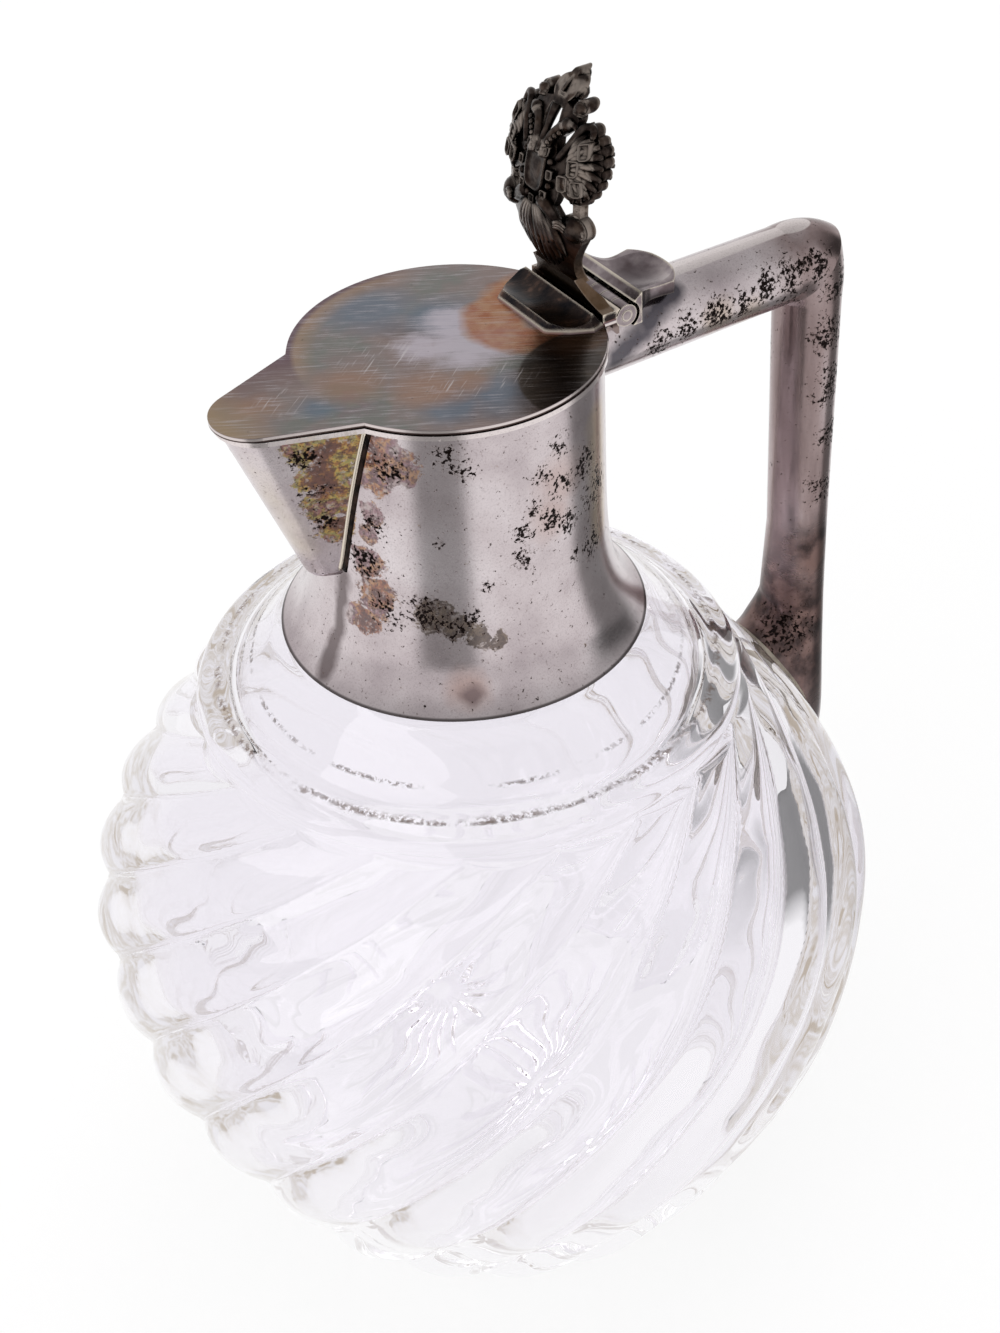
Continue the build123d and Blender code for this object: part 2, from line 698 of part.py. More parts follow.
# Lid bridge: a moulded plate with sloping sides and a cove that rises to the hinge
with BuildPart() as lid_bridge:
    with BuildSketch(Plane.XY.offset(LID_TOP)):
        with BuildLine():
            Polyline(*[(x, -y) for x, y in BRIDGE_PLAN], *reversed(BRIDGE_PLAN), close=True)
        make_face()
        fillet(vertices().group_by(Axis.X)[0], BRIDGE_CORNER_R)
    extrude(amount=BRIDGE_RIDGE_Z - LID_TOP, taper=BRIDGE_TAPER)
    with BuildSketch(Plane.XZ):
        with BuildLine():
            Line((BRIDGE_FRONT, BRIDGE_EDGE_Z), (BRIDGE_FRONT + 1, BRIDGE_EDGE_Z))
            ThreePointArc(
                (BRIDGE_FRONT + 1, BRIDGE_EDGE_Z),
                (BRIDGE_FRONT + 5.5, BRIDGE_EDGE_Z - 0.5),
                (LEAF_FRONT - 1.2, BRIDGE_RIDGE_Z),
            )
            Line((LEAF_FRONT - 1.2, BRIDGE_RIDGE_Z), (BRIDGE_FRONT, BRIDGE_RIDGE_Z))
            Line((BRIDGE_FRONT, BRIDGE_RIDGE_Z), (BRIDGE_FRONT, BRIDGE_EDGE_Z))
        make_face()
    extrude(amount=HINGE_HALF + 3, both=True, mode=Mode.SUBTRACT)
    with BuildSketch(Plane.YZ.offset(LEAF_FRONT)):
        with Locations((0, LID_TOP)):
            Rectangle(4 * HINGE_HALF, 8)
    extrude(amount=3, mode=Mode.SUBTRACT)
lid_bridge.part.label = "lid_bridge"

# Foot of the thumbpiece: a flared blade that stands on the hinge leaf and leans forward. It
# is joined to the casting below
with BuildPart() as thumb_foot:
    with BuildSketch(Plane.XZ):
        with BuildLine():
            Polyline(
                (FOOT_FRONT_X, LEAF_TOP),
                (FOOT_BACK_X, LEAF_TOP),
                (FOOT_BACK_X - 0.2, LEAF_TOP + 1.2),
                (FOOT_NECK_X + CAST, FOOT_NECK_Z),
                (FOOT_NECK_X, FOOT_NECK_Z),
                close=True,
            )
        make_face()
    extrude(amount=FOOT_HALF_Y, both=True)
    with BuildSketch(Plane.YZ.offset(FOOT_NECK_X - 1)):
        with BuildLine():
            Line((-FOOT_HALF_Y, LEAF_TOP), (FOOT_HALF_Y, LEAF_TOP))
            Spline(
                (FOOT_HALF_Y, LEAF_TOP),
                (FOOT_WAIST_Y, FOOT_NECK_Z + 0.2),
                tangents=((-1, 0.3), (-0.1, 1)),
            )
            Line((FOOT_WAIST_Y, FOOT_NECK_Z + 0.2), (-FOOT_WAIST_Y, FOOT_NECK_Z + 0.2))
            Spline(
                (-FOOT_WAIST_Y, FOOT_NECK_Z + 0.2),
                (-FOOT_HALF_Y, LEAF_TOP),
                tangents=((-0.1, -1), (-1, -0.3)),
            )
        make_face()
    extrude(amount=DISH_R / 2, mode=Mode.INTERSECT)

# Feather tips of both wings, thinner than the rest of the casting and joined to it below
with BuildPart() as feather_tips:
    with BuildSketch(Plane.YZ.offset(DISH_X - DISH_R - 1)):
        for side in (-1, 1):
            for feather in range(FEATHERS):
                spread = math.radians(FEATHER_SPREAD * (0.5 - feather / (FEATHERS - 1)))
                with Locations(
                    (
                        side * (WING_Y + FEATHER_REACH_Y * math.cos(spread)),
                        WING_Z + FEATHER_REACH_Z * math.sin(spread),
                    )
                ):
                    Circle(FEATHER_R)
    extrude(amount=DISH_R / 2)
    with Locations((DISH_X, 0, DISH_Z)):
        Sphere(DISH_R - (CAST - FEATHER_CAST) / 2, mode=Mode.INTERSECT)
        Sphere(DISH_R - (CAST + FEATHER_CAST) / 2, mode=Mode.SUBTRACT)

# Thumbpiece: a cast openwork crest of a bird with two heads, on a spreading foot. The flat
# pattern is pressed into a shallow dish by intersection with a thick sphere
with BuildPart() as thumbpiece:
    with BuildSketch(Plane.YZ.offset(DISH_X - DISH_R - 1)):
        with Locations((0, BREAST_Z)):
            Ellipse(BREAST_HALF_Y, BREAST_HALF_Z)
        with Locations((0, CREST_Z - 2.7)):
            Ellipse(CROWN_HALF_Y, CROWN_HALF_Z)
        with Locations((0, CREST_Z - 4.4)):
            Rectangle(2 * CROWN_BAND_Y, 1.4)
        with Locations((0, CREST_Z - FINIAL_R)):
            Circle(FINIAL_R)
        for side in (-1, 1):
            with Locations((side * WING_Y, WING_Z)):
                Ellipse(4.0, 5.0)
            with Locations((side * (WING_Y - 0.2), WING_Z + 5.0)):
                Circle(1.5)
                Circle(0.8, mode=Mode.SUBTRACT)
            for outline in (NECK_OUTLINE, STRUT_OUTLINE, LEG_OUTLINE):
                with BuildLine():
                    Polyline(*[(side * y, z) for y, z in outline], close=True)
                make_face()
            with Locations((side * HEAD_Y, HEAD_Z)):
                Circle(1.5)
            with Locations((side * (HEAD_Y + 0.8), HEAD_Z + 2.2)):
                Ellipse(1.4, 1.1)
            with Locations((side * ORB_Y, ORB_Z)):
                Circle(ORB_R)
            with Locations((side * (ORB_Y + 0.6), ORB_Z + 3.1)):
                Rectangle(1.3, 2.6)
        with BuildLine():
            Line((-FOOT_WAIST_Y, FOOT_NECK_Z - 1), (FOOT_WAIST_Y, FOOT_NECK_Z - 1))
            Line((FOOT_WAIST_Y, FOOT_NECK_Z - 1), (FOOT_WAIST_Y, FOOT_NECK_Z))
            Spline(
                (FOOT_WAIST_Y, FOOT_NECK_Z),
                (ORB_Y + ORB_R - 0.9, ORB_Z - 1.6),
                tangents=((0.1, 1), (0.5, 1)),
            )
            Polyline(
                (ORB_Y + ORB_R - 0.9, ORB_Z - 1.6),
                (0, ORB_Z + 1),
                (-ORB_Y - ORB_R + 0.9, ORB_Z - 1.6),
            )
            Spline(
                (-ORB_Y - ORB_R + 0.9, ORB_Z - 1.6),
                (-FOOT_WAIST_Y, FOOT_NECK_Z),
                tangents=((0.5, -1), (0.1, -1)),
            )
            Line((-FOOT_WAIST_Y, FOOT_NECK_Z), (-FOOT_WAIST_Y, FOOT_NECK_Z - 1))
        make_face()
    extrude(amount=DISH_R / 2)
    with Locations((DISH_X, 0, DISH_Z)):
        Sphere(DISH_R, mode=Mode.INTERSECT)
        Sphere(DISH_R - CAST, mode=Mode.SUBTRACT)
    add(feather_tips.part)
    add(thumb_foot.part)
thumbpiece.part.label = "thumbpiece"

# Write each finished piece to its own file
for piece in (
    glass_body,
    neck_cement,
    collar,
    spout,
    rim_wire,
    handle_arm,
    handle_upright,
    handle_foot,
    foot_cement,
    handle_drop,
    hinge_bar,
    hinge_tongue,
    hinge_pin,
    lid_plate,
    lid_flange,
    hinge_leaf,
    lid_bridge,
    thumbpiece,
):
    export_step(piece.part, f"parts/{piece.part.label}.step")
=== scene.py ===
import math

import bmesh
import bpy
import numpy as np
from mathutils import Matrix, Vector


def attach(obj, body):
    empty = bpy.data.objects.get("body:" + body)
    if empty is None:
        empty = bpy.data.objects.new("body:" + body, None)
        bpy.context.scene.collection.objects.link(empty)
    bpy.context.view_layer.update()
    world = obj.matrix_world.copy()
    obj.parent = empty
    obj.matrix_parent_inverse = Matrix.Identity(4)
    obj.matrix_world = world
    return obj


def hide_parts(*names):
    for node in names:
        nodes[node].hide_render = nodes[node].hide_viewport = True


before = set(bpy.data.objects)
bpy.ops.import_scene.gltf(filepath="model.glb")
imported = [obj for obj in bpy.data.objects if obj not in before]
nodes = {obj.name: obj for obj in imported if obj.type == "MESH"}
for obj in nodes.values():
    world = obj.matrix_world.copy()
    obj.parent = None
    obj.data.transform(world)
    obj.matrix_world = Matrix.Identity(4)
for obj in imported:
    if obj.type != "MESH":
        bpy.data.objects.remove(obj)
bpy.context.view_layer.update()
MM = 0.001


# Nodes and masks that all finishes share

def linear(hex_colour):
    """sRGB hex colour as linear red, green, blue and an alpha of one."""
    raw = np.array([int(hex_colour[i:i + 2], 16) for i in (1, 3, 5)]) / 255
    return (*np.where(raw <= 0.04045, raw / 12.92, ((raw + 0.055) / 1.055) ** 2.4), 1.0)


def add(tree, kind, sockets=None, stops=(), **settings):
    """Adds one node with its settings. Each socket gets a number, a hex colour, another node's
    output, or a node, which stands for its first live output. Stops are positions and hex
    colours of a colour ramp."""
    made = tree.nodes.new("ShaderNode" + kind)
    for key, value in settings.items():
        setattr(made, key, value)
    for key, value in (sockets or {}).items():
        if isinstance(value, bpy.types.Node):
            value = next(output for output in value.outputs if output.enabled)
        if isinstance(value, bpy.types.NodeSocket):
            tree.links.new(value, made.inputs[key])
        else:
            made.inputs[key].default_value = linear(value) if isinstance(value, str) else value
    for index, (position, colour) in enumerate(stops):
        elements = made.color_ramp.elements
        element = elements[index] if index < 2 else elements.new(position)
        element.position = position
        element.color = linear(colour)
    return made


def material(name):
    """An empty node material with its tree and its object coordinates."""
    made = bpy.data.materials.new(name)
    made.use_nodes = True
    made.node_tree.nodes.clear()
    return made, made.node_tree, add(made.node_tree, "TexCoord").outputs["Object"]


def dressed(made, skin):
    """The material with its surface."""
    add(made.node_tree, "OutputMaterial", {"Surface": skin})
    return made


def meet(tree, first, *others):
    """Mask where all of several masks meet: their product."""
    for other in others:
        first = add(tree, "Math", {0: first, 1: other}, operation="MULTIPLY")
    return first


def either(tree, first, *others):
    """Mask where any of several masks is: the largest."""
    for other in others:
        first = add(tree, "Math", {0: first, 1: other}, operation="MAXIMUM")
    return first


def total(tree, start, *parts):
    """Sum of a start and of parts, each a value and its share."""
    for part, share in parts:
        start = add(tree, "Math", {0: part, 1: share, 2: start}, operation="MULTIPLY_ADD")
    return start


def films(tree, tone, *layers):
    """Films laid over a tone one after another. Each is a mask, the share of the film's colour
    where the mask is one, and the colour, and it is mixed with what lies under it."""
    for mask, share, colour in layers:
        cover = add(tree, "Math", {0: mask, 1: share}, operation="MULTIPLY")
        tone = add(tree, "Mix", {0: cover, 6: tone, 7: colour}, data_type="RGBA")
    return tone


def cloud(tree, place, size, detail=3.0, stretch=None, roughness=0.55):
    """Cloud value from nought to one whose blobs are size millimetres across, drawn out along
    the axes by stretch."""
    if stretch:
        place = add(tree, "Mapping", {"Vector": place, "Scale": tuple(1 / part for part in stretch)})
    return add(tree, "TexNoise", {
        "Vector": place, "Scale": 1000 / size, "Detail": detail, "Roughness": roughness})


def wander(tree, place, size, amount):
    """Coordinates pushed about by a cloud of the given size and amount, both in millimetres."""
    blobs = add(tree, "TexNoise", {"Vector": place, "Scale": 1000 / size, "Detail": 3.0})
    middle = add(tree, "VectorMath", {0: blobs.outputs["Color"], 1: (0.5, 0.5, 0.5)}, operation="SUBTRACT")
    push = add(tree, "VectorMath", {0: middle, "Scale": 2 * amount * MM}, operation="SCALE")
    return add(tree, "VectorMath", {0: place, 1: push}, operation="ADD")


def distance(tree, place, centre):
    """Distance in metres from a centre in millimetres."""
    return add(tree, "VectorMath", {0: place, 1: tuple(c * MM for c in centre)}, operation="DISTANCE")


def patches(tree, place, marks):
    """Soft blobs: each mark is a centre and a reach in millimetres, one out to about a third of
    its reach and nought from its reach on. Where blobs overlap, the larger counts."""
    blobs = []
    for centre, reach in marks:
        away = distance(tree, place, centre)
        blobs.append(add(tree, "MapRange", {0: away, 1: reach * MM, 2: 0.35 * reach * MM}))
    return either(tree, *blobs)


def stroke(tree, place, start, end, reach):
    """Soft band along a straight line between two points in millimetres: one near the line and
    nought from its reach on."""
    start, end = Vector(start) * MM, Vector(end) * MM
    line = end - start
    off = add(tree, "VectorMath", {0: place, 1: start}, operation="SUBTRACT")
    share = add(tree, "VectorMath", {0: off, 1: line / line.length_squared}, operation="DOT_PRODUCT")
    held = add(tree, "MapRange", {0: share})
    foot = add(tree, "VectorMath", {0: line, "Scale": held}, operation="SCALE")
    away = add(tree, "VectorMath", {0: off, 1: foot}, operation="DISTANCE")
    return add(tree, "MapRange", {0: away, 1: reach * MM, 2: 0.35 * reach * MM})


def ragged(tree, place, marks):
    """Patches with a crusty edge and holes: a cloud with fine detail eats into each blob."""
    bite = 2.4
    crust = total(tree, patches(tree, place, marks), (cloud(tree, place, 2.6, 6.0, None, 0.75), bite))
    return add(tree, "MapRange", {0: crust, 1: 0.5 * bite + 0.42, 2: 0.5 * bite + 0.56})


def speckled(tree, place, stops, dark):
    """Crust of several colours that change over some millimetres, with fine dark specks and
    flecks of the metal between."""
    specks = add(tree, "MapRange", {0: cloud(tree, place, 0.8, 4.0, None, 0.7), 1: 0.47, 2: 0.56})
    flecks = add(tree, "MapRange", {0: cloud(tree, place, 1.3, 4.0, None, 0.7), 1: 0.56, 2: 0.64})
    crust = add(tree, "ValToRGB", {0: cloud(tree, place, 5.0, 5.0, None, 0.62)}, stops)
    return films(tree, crust, (specks, 0.8, dark), (flecks, 0.7, "#c9bdba"))


def sector(tree, way, centre, half, soft):
    """One inside a sector of compass directions round the upright axis, nought outside, with
    soft edges. The angles are in degrees from +X. The radial gradient jumps at half a turn, so
    the sector's centre is turned there and both sides count as the distance from the jump."""
    swung = add(tree, "Mapping", {"Vector": way, "Rotation": (0, 0, math.radians(180 - centre))})
    wheel = add(tree, "TexGradient", {"Vector": swung}, gradient_type="RADIAL")
    off = add(tree, "Math", {0: wheel.outputs["Fac"], 1: 0.5}, operation="PINGPONG")
    return add(tree, "MapRange", {0: off, 1: (half - soft) / 360, 2: (half + soft) / 360, 3: 1.0, 4: 0.0})


# Camera, floor and light

# Focal length and sensor in millimetres, place in metres and angles in degrees
FOCAL_LENGTH = 59.9
CAMERA_PLACE = (-0.15476, -0.27095, 0.36194)
BACK = (-0.3986, -0.6687, 0.6276)
LEVEL = (0.859, -0.512, 0.0)
ROLL = -3.127
SENSOR_HEIGHT = 36.0
FLOOR_HALF = 2.5
# Dark sides that gloss sees beyond the floor: compass direction, half width and darkness
DARK_SIDES = ((-132, 19, 0.74), (-10, 18, 0.85))
DARK_CORNER = (-14, 20, 0.88)
FLOOR_GLOW = 0.88
THROUGH_GLASS = 0.93
WHITE = (1, 1, 1, 1)
# Name, place in metres, width in metres and power in watts
SOFT_BOXES = (
    ("left_box", (-1.1, -0.25, 0.8), 1.3, 11.0),
    ("top_box", (0.1, 0.35, 1.5), 1.4, 9.0),
    ("right_box", (0.9, 0.8, 0.8), 1.0, 6.0),
)


def make_camera():
    """Camera where the photograph was taken from, with its own three axes as columns. Back
    points from the object to the camera, and roll is its lean in degrees."""
    data = bpy.data.cameras.new("view")
    data.sensor_fit = "VERTICAL"
    data.sensor_height = SENSOR_HEIGHT
    data.lens = FOCAL_LENGTH
    data.clip_start = 0.01
    back = Vector(BACK).normalized()
    level = Vector(LEVEL).normalized()
    upward = back.cross(level)
    roll = math.radians(ROLL)
    right = math.cos(roll) * level + math.sin(roll) * upward
    up = math.cos(roll) * upward - math.sin(roll) * level
    turn = Matrix((right, up, back)).transposed().to_4x4()
    camera = bpy.data.objects.new("view", data)
    camera.matrix_world = Matrix.Translation(CAMERA_PLACE) @ turn
    bpy.context.scene.collection.objects.link(camera)
    bpy.context.scene.camera = camera


def seen_ray(tree):
    """One for rays that the camera, a gloss or a glass sends out, and nought for the rest."""
    path = add(tree, "LightPath").outputs
    return either(tree, path["Is Camera Ray"], path["Is Glossy Ray"], path["Is Transmission Ray"])


def make_floor():
    """A flat pale sheet. It shows nearly white to the eye and to gloss and glass, and still
    takes a soft shadow. Gloss sees it end in the dark of the room at two sides."""
    mesh = bpy.data.meshes.new("floor")
    corners = [(FLOOR_HALF * x, FLOOR_HALF * y, 0) for x, y in ((-1, -1), (1, -1), (1, 1), (-1, 1))]
    mesh.from_pydata(corners, [], [(0, 1, 2, 3)])
    floor = bpy.data.objects.new("floor", mesh)
    bpy.context.scene.collection.objects.link(floor)
    paper, tree, place = material("white_paper")
    reach = add(tree, "VectorMath", {0: place}, operation="LENGTH")
    beyond = add(tree, "MapRange", {0: reach, 1: 0.09, 2: 0.16})
    shade = 1.0
    for centre, half, dark in DARK_SIDES:
        side = meet(tree, sector(tree, place, centre, half, 4), beyond)
        shade = meet(tree, shade, add(tree, "MapRange", {0: side, 3: 1.0, 4: 1 - dark}))
    path = add(tree, "LightPath").outputs
    gloss = add(tree, "MapRange", {0: path["Is Glossy Ray"], 3: 1.0, 4: shade})
    matt = add(tree, "BsdfDiffuse", {"Color": "#f4f3f2"})
    glow = add(tree, "Emission", {"Color": WHITE, "Strength": gloss})
    share = meet(tree, seen_ray(tree), FLOOR_GLOW)
    mesh.materials.append(dressed(paper, add(tree, "MixShader", {0: share, 1: matt, 2: glow})))


def make_world():
    """White room with a dimmer ceiling and a dark corner, as gloss sees it. Glass shows it pale
    and even, and the eye sees plain white."""
    world = bpy.data.worlds.new("room")
    bpy.context.scene.world = world
    world.use_nodes = True
    tree = world.node_tree
    tree.nodes.clear()
    way = add(tree, "TexCoord").outputs["Generated"]
    rise = add(tree, "SeparateXYZ", {0: way}).outputs["Z"]
    ceiling = add(tree, "MapRange", {0: rise, 1: 0.3, 2: 0.95, 3: 0.85, 4: 0.45})
    low = add(tree, "MapRange", {0: rise, 1: 0.2, 2: 0.75, 3: 1.0, 4: 0.0})
    centre, half, dark = DARK_CORNER
    corner = meet(tree, sector(tree, way, centre, half, 6), low)
    tone = meet(tree, ceiling, add(tree, "MapRange", {0: corner, 3: 1.0, 4: 1 - dark}))
    path = add(tree, "LightPath").outputs
    through = add(tree, "MapRange", {0: path["Is Transmission Ray"], 3: tone, 4: THROUGH_GLASS})
    shown = either(tree, through, path["Is Camera Ray"])
    room = add(tree, "Background", {"Color": WHITE, "Strength": shown})
    plain = add(tree, "Background", {"Color": "#f2f2f4", "Strength": 0.55})
    shown_share = seen_ray(tree)
    add(tree, "OutputWorld", {"Surface": add(tree, "MixShader", {0: shown_share, 1: plain, 2: room})})


def make_lamps():
    """Three large soft boxes: at the left, above and behind at the right."""
    aim = Vector((0, 0, 0.1))
    for name, place, size, power in SOFT_BOXES:
        data = bpy.data.lights.new(name, "AREA")
        data.shape = "SQUARE"
        data.size = size
        data.energy = power
        lamp = bpy.data.objects.new(name, data)
        lamp.location = place
        lamp.visible_glossy = False
        lamp.rotation_euler = (aim - Vector(place)).to_track_quat("-Z", "Y").to_euler()
        bpy.context.scene.collection.objects.link(lamp)


# Meshes

def mesh_piece(name, points, faces, finish, body, slot):
    """A piece from points in millimetres and faces, turned outwards and shaded smooth, riding
    on a body."""
    mesh = bpy.data.meshes.new(name)
    mesh.from_pydata((np.asarray(points) * MM).tolist(), [], faces)
    work = bmesh.new()
    work.from_mesh(mesh)
    bmesh.ops.recalc_face_normals(work, faces=work.faces)
    work.to_mesh(mesh)
    work.free()
    mesh.polygons.foreach_set("use_smooth", np.ones(len(mesh.polygons), bool))
    mesh.materials.append(finish)
    piece = bpy.data.objects.new(name, mesh)
    bpy.context.scene.collection.objects.link(piece)
    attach(piece, body)
    return piece


def grid_faces(rows, columns):
    """Quads of a grid of rows by columns, its columns joined round."""
    row = np.arange(rows - 1)[:, None] * columns
    here = np.arange(columns)[None, :]
    there = (here + 1) % columns
    quads = np.stack([row + here, row + there, row + columns + there, row + columns + here], -1)
    return quads.reshape(-1, 4).tolist()


def close_ends(points, rows, around):
    """Quads of a tube of rows rings, and a fan to a middle point on each end."""
    faces = grid_faces(rows, around)
    ring = np.arange(around)
    after = (ring + 1) % around
    last = (rows - 1) * around
    ends = np.vstack([points[:around].mean(0), points[last:].mean(0)])
    faces += np.stack([np.full(around, len(points)), after, ring], -1).tolist()
    faces += np.stack([np.full(around, len(points) + 1), last + ring, last + after], -1).tolist()
    return np.vstack([points, ends]), faces


def curve_through(knots, steps):
    """Catmull-Rom curve through knots: between two knots a cubic whose slope at each knot is
    half the chord between that knot's neighbours."""
    knots = np.asarray(knots, float)
    padded = np.vstack([2 * knots[0] - knots[1], knots, 2 * knots[-1] - knots[-2]])
    t = np.linspace(0, 1, steps, endpoint=False)[:, None]
    a, b, c, d = (padded[i:len(padded) - 3 + i, None] for i in range(4))
    spans = b + 0.5 * t * (c - a + t * (2 * a - 5 * b + 4 * c - d + t * (3 * (b - c) + d - a)))
    return np.vstack([spans.reshape(-1, knots.shape[1]), knots[-1:]])


# Lead crystal body

# Lengths in millimetres, angles in degrees. A pair is a radius and a height
FLUTES = 20
STEPS_PER_FLUTE = 16
FIRST_GROOVE = 90
FLUTE_DEPTH = 2.7
WIDEST = 73.7
WALL = 6.6
EVEN_WALL = (28, 92)
TWIST = 0.62
LATE_TWIST = 26
FLUTE_TOP = 108.6
STATIONS = [
    (50.6, 0.0), (52.6, 1.2), (54.8, 4.5), (57.6, 10.0), (61.3, 18.0), (66.2, 28.0), (70.3, 39.0),
    (72.6, 50.0), (73.6, 60.0), (WIDEST, 66.0), (73.0, 71.0), (71.6, 75.5), (69.6, 80.0), (67.3, 84.0),
    (64.8, 88.0), (62.1, 91.8), (59.4, 95.5), (56.8, 99.0), (54.3, 102.5), (52.2, 105.6), (50.4, FLUTE_TOP),
]
SHOULDER_STEP = [(47.6, 109.0), (48.6, 109.9), (49.0, 110.5), (48.5, 111.9), (47.5, 112.9), (45.2, 114.0)]
SHOULDER = [(44.6, 114.3), (42.2, 115.2), (38.6, 118.2), (34.4, 121.9), (32.0, 124.6)]
NECK_ROOT = [(31.4, 125.0), (26.6, 128.2), (23.3, 131.2), (22.0, 134.5)]
NECK = [
    (22.0, 136.0), (22.0, 141.0), (22.0, 145.3), (21.8, 145.8), (21.3, 146.0), (20.0, 146.0),
    (18.7, 146.0), (18.2, 145.8), (18.0, 145.3), (18.0, 139.0),
]
UPPER_HOLLOW = [(18.0, 133.0), (20.2, 129.0), (28.5, 121.5), (35.2, 115.6), (40.5, 110.5), (49.0, 98.6)]
LOWER_HOLLOW = [(56.0, 22.5), (50.0, 17.0), (43.0, 13.9), (36.0, 12.5)]
HOLLOW_FLOOR = [(28.0, 12.1), (18.0, 11.6), (8.0, 11.2)]
HOLLOW_BOTTOM = 11.0
STAR_REACH = [
    3.0, 6.0, 8.0, 10.0, 12.0, 15.0, 18.0, 21.0, 24.0, 27.0, 30.0, 33.0, 34.4, 38.0, 43.0, 48.0, 49.6]
STAR_DEPTH = 1.3
STAR_RIM = 34.0


def crystal_body(finish):
    """Closed vessel: one profile, radius over height, is carried round the axis from the
    middle of the base up the outside, over the neck and down the inside. On the body the
    radius at an angle is that of a circular arc through two grooves and the crest between
    them, and the grooves turn with height by a steady twist and a fifth power."""
    around = FLUTES * STEPS_PER_FLUTE
    angle = np.radians(np.arange(around) * 360 / around)
    outside = curve_through(STATIONS, 7)
    neck = np.vstack([
        curve_through(SHOULDER_STEP, 4), curve_through(SHOULDER, 5), curve_through(NECK_ROOT, 5), NECK])
    walled = [(r - WALL, z) for r, z in STATIONS[::-1] if EVEN_WALL[0] <= z <= EVEN_WALL[1]]
    inside = curve_through(UPPER_HOLLOW + walled + LOWER_HOLLOW, 4)
    profile = np.vstack([outside, neck, inside, HOLLOW_FLOOR])
    radius = np.repeat(profile[:, :1], around, 1)
    height = np.repeat(profile[:, 1:], around, 1)
    crest = outside[:, 0][:, None]
    groove = crest * (1 - FLUTE_DEPTH / WIDEST)
    half = math.radians(180 / FLUTES)
    turn = FIRST_GROOVE + TWIST * outside[:, 1] + LATE_TWIST * (outside[:, 1] / FLUTE_TOP) ** 5
    off = np.mod(angle[None, :] - np.radians(turn)[:, None], 2 * half) - half
    middle = (crest ** 2 - groove ** 2) / (2 * (crest - groove * math.cos(half)))
    fluted = middle * np.cos(off) + np.sqrt((crest - middle) ** 2 - (middle * np.sin(off)) ** 2)
    radius[:len(outside)] = fluted
    # The base carries a star: the cut of a ray is deepest on its middle line
    reach = np.array(STAR_REACH)
    ray = np.abs(np.mod(angle[None, :] + half, 2 * half) - half)
    width = np.interp(reach, [6.0, STAR_RIM], [half, 0.0])[:, None]
    depth = np.interp(reach, [5.0, 9.0, STAR_RIM], [0.0, STAR_DEPTH, 0.0])[:, None]
    cut = depth * np.clip(1 - ray / np.maximum(width, 1e-6), 0, 1)
    radius = np.vstack([np.repeat(reach[:, None], around, 1), radius])
    height = np.vstack([cut, height])
    rings = np.stack([radius * np.cos(angle), radius * np.sin(angle), height], -1).reshape(-1, 3)
    points, faces = close_ends(rings, len(radius), around)
    points[-2:] = (0, 0, 0), (0, 0, HOLLOW_BOTTOM)
    piece = mesh_piece("crystal_body", points, faces, finish, "jug", "lead_crystal")
    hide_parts("glass_body")


# Casting of the thumbpiece: relief laid on the dished sheet of the solid

DISH = np.array([45.5, 0.0, 197.5])
DISH_R = 27.5


def on_dish(flat, proud):
    """Points in space of flat pattern points Y and Z: pressed along X onto a sphere about the
    dish's centre whose radius is the casting's plus proud."""
    flat = np.asarray(flat, float)
    depth = np.sqrt((DISH_R + proud) ** 2 - flat[:, 0] ** 2 - (flat[:, 1] - DISH[2]) ** 2)
    return np.column_stack([DISH[0] - depth, flat])


def swept(path, outward, thick, wide, around):
    """Closed bar along a path: at each point an ellipse in the plane across the path, thick
    along the outward direction there and wide across it."""
    along = np.gradient(path, axis=0)
    along /= np.linalg.norm(along, axis=1)[:, None]
    out = outward - (outward * along).sum(1)[:, None] * along
    out /= np.linalg.norm(out, axis=1)[:, None]
    side = np.cross(along, out)
    turn = np.linspace(0, 2 * math.pi, around, endpoint=False)[None, :, None]
    rings = path[:, None] + thick * np.cos(turn) * out[:, None] + wide * np.sin(turn) * side[:, None]
    return close_ends(rings.reshape(-1, 3), len(path), around)


def rod(path, radii, flat=1.0, around=10):
    """Round bar along a path, of the given radii, flattened along the dish's normal by flat."""
    radii = np.asarray(radii, float)[:, None, None]
    return swept(path, path - DISH, radii * flat, radii, around)


def bar(knots, radii, proud=0.0, flat=1.0):
    """Round bar through flat pattern knots on the dish, its radius going through radii."""
    line = curve_through(knots, 4)
    size = np.interp(np.linspace(0, 1, len(line)), np.linspace(0, 1, len(radii)), radii)
    return rod(on_dish(line, proud), size, flat)


def turned(centre, axis, profile, around=20):
    """Turned form: pairs of radius and height carried round an axis through the centre."""
    axis = np.asarray(axis, float) / np.linalg.norm(axis)
    first = np.cross(axis, (0.0, 1.0, 0.0))
    first /= np.linalg.norm(first)
    second = np.cross(axis, first)
    turn = np.linspace(0, 2 * math.pi, around, endpoint=False)[None, :, None]
    profile = np.asarray(profile, float)
    rings = (np.asarray(centre) + profile[:, None, 1:] * axis
             + profile[:, None, :1] * (np.cos(turn) * first + np.sin(turn) * second))
    return close_ends(rings.reshape(-1, 3), len(profile), around)


def ball(centre, radius):
    """Sphere as a turned half circle."""
    turn = np.linspace(0.12, math.pi - 0.12, 9)
    return turned(centre, (0, 0, 1), np.column_stack([radius * np.sin(turn), -radius * np.cos(turn)]), 14)


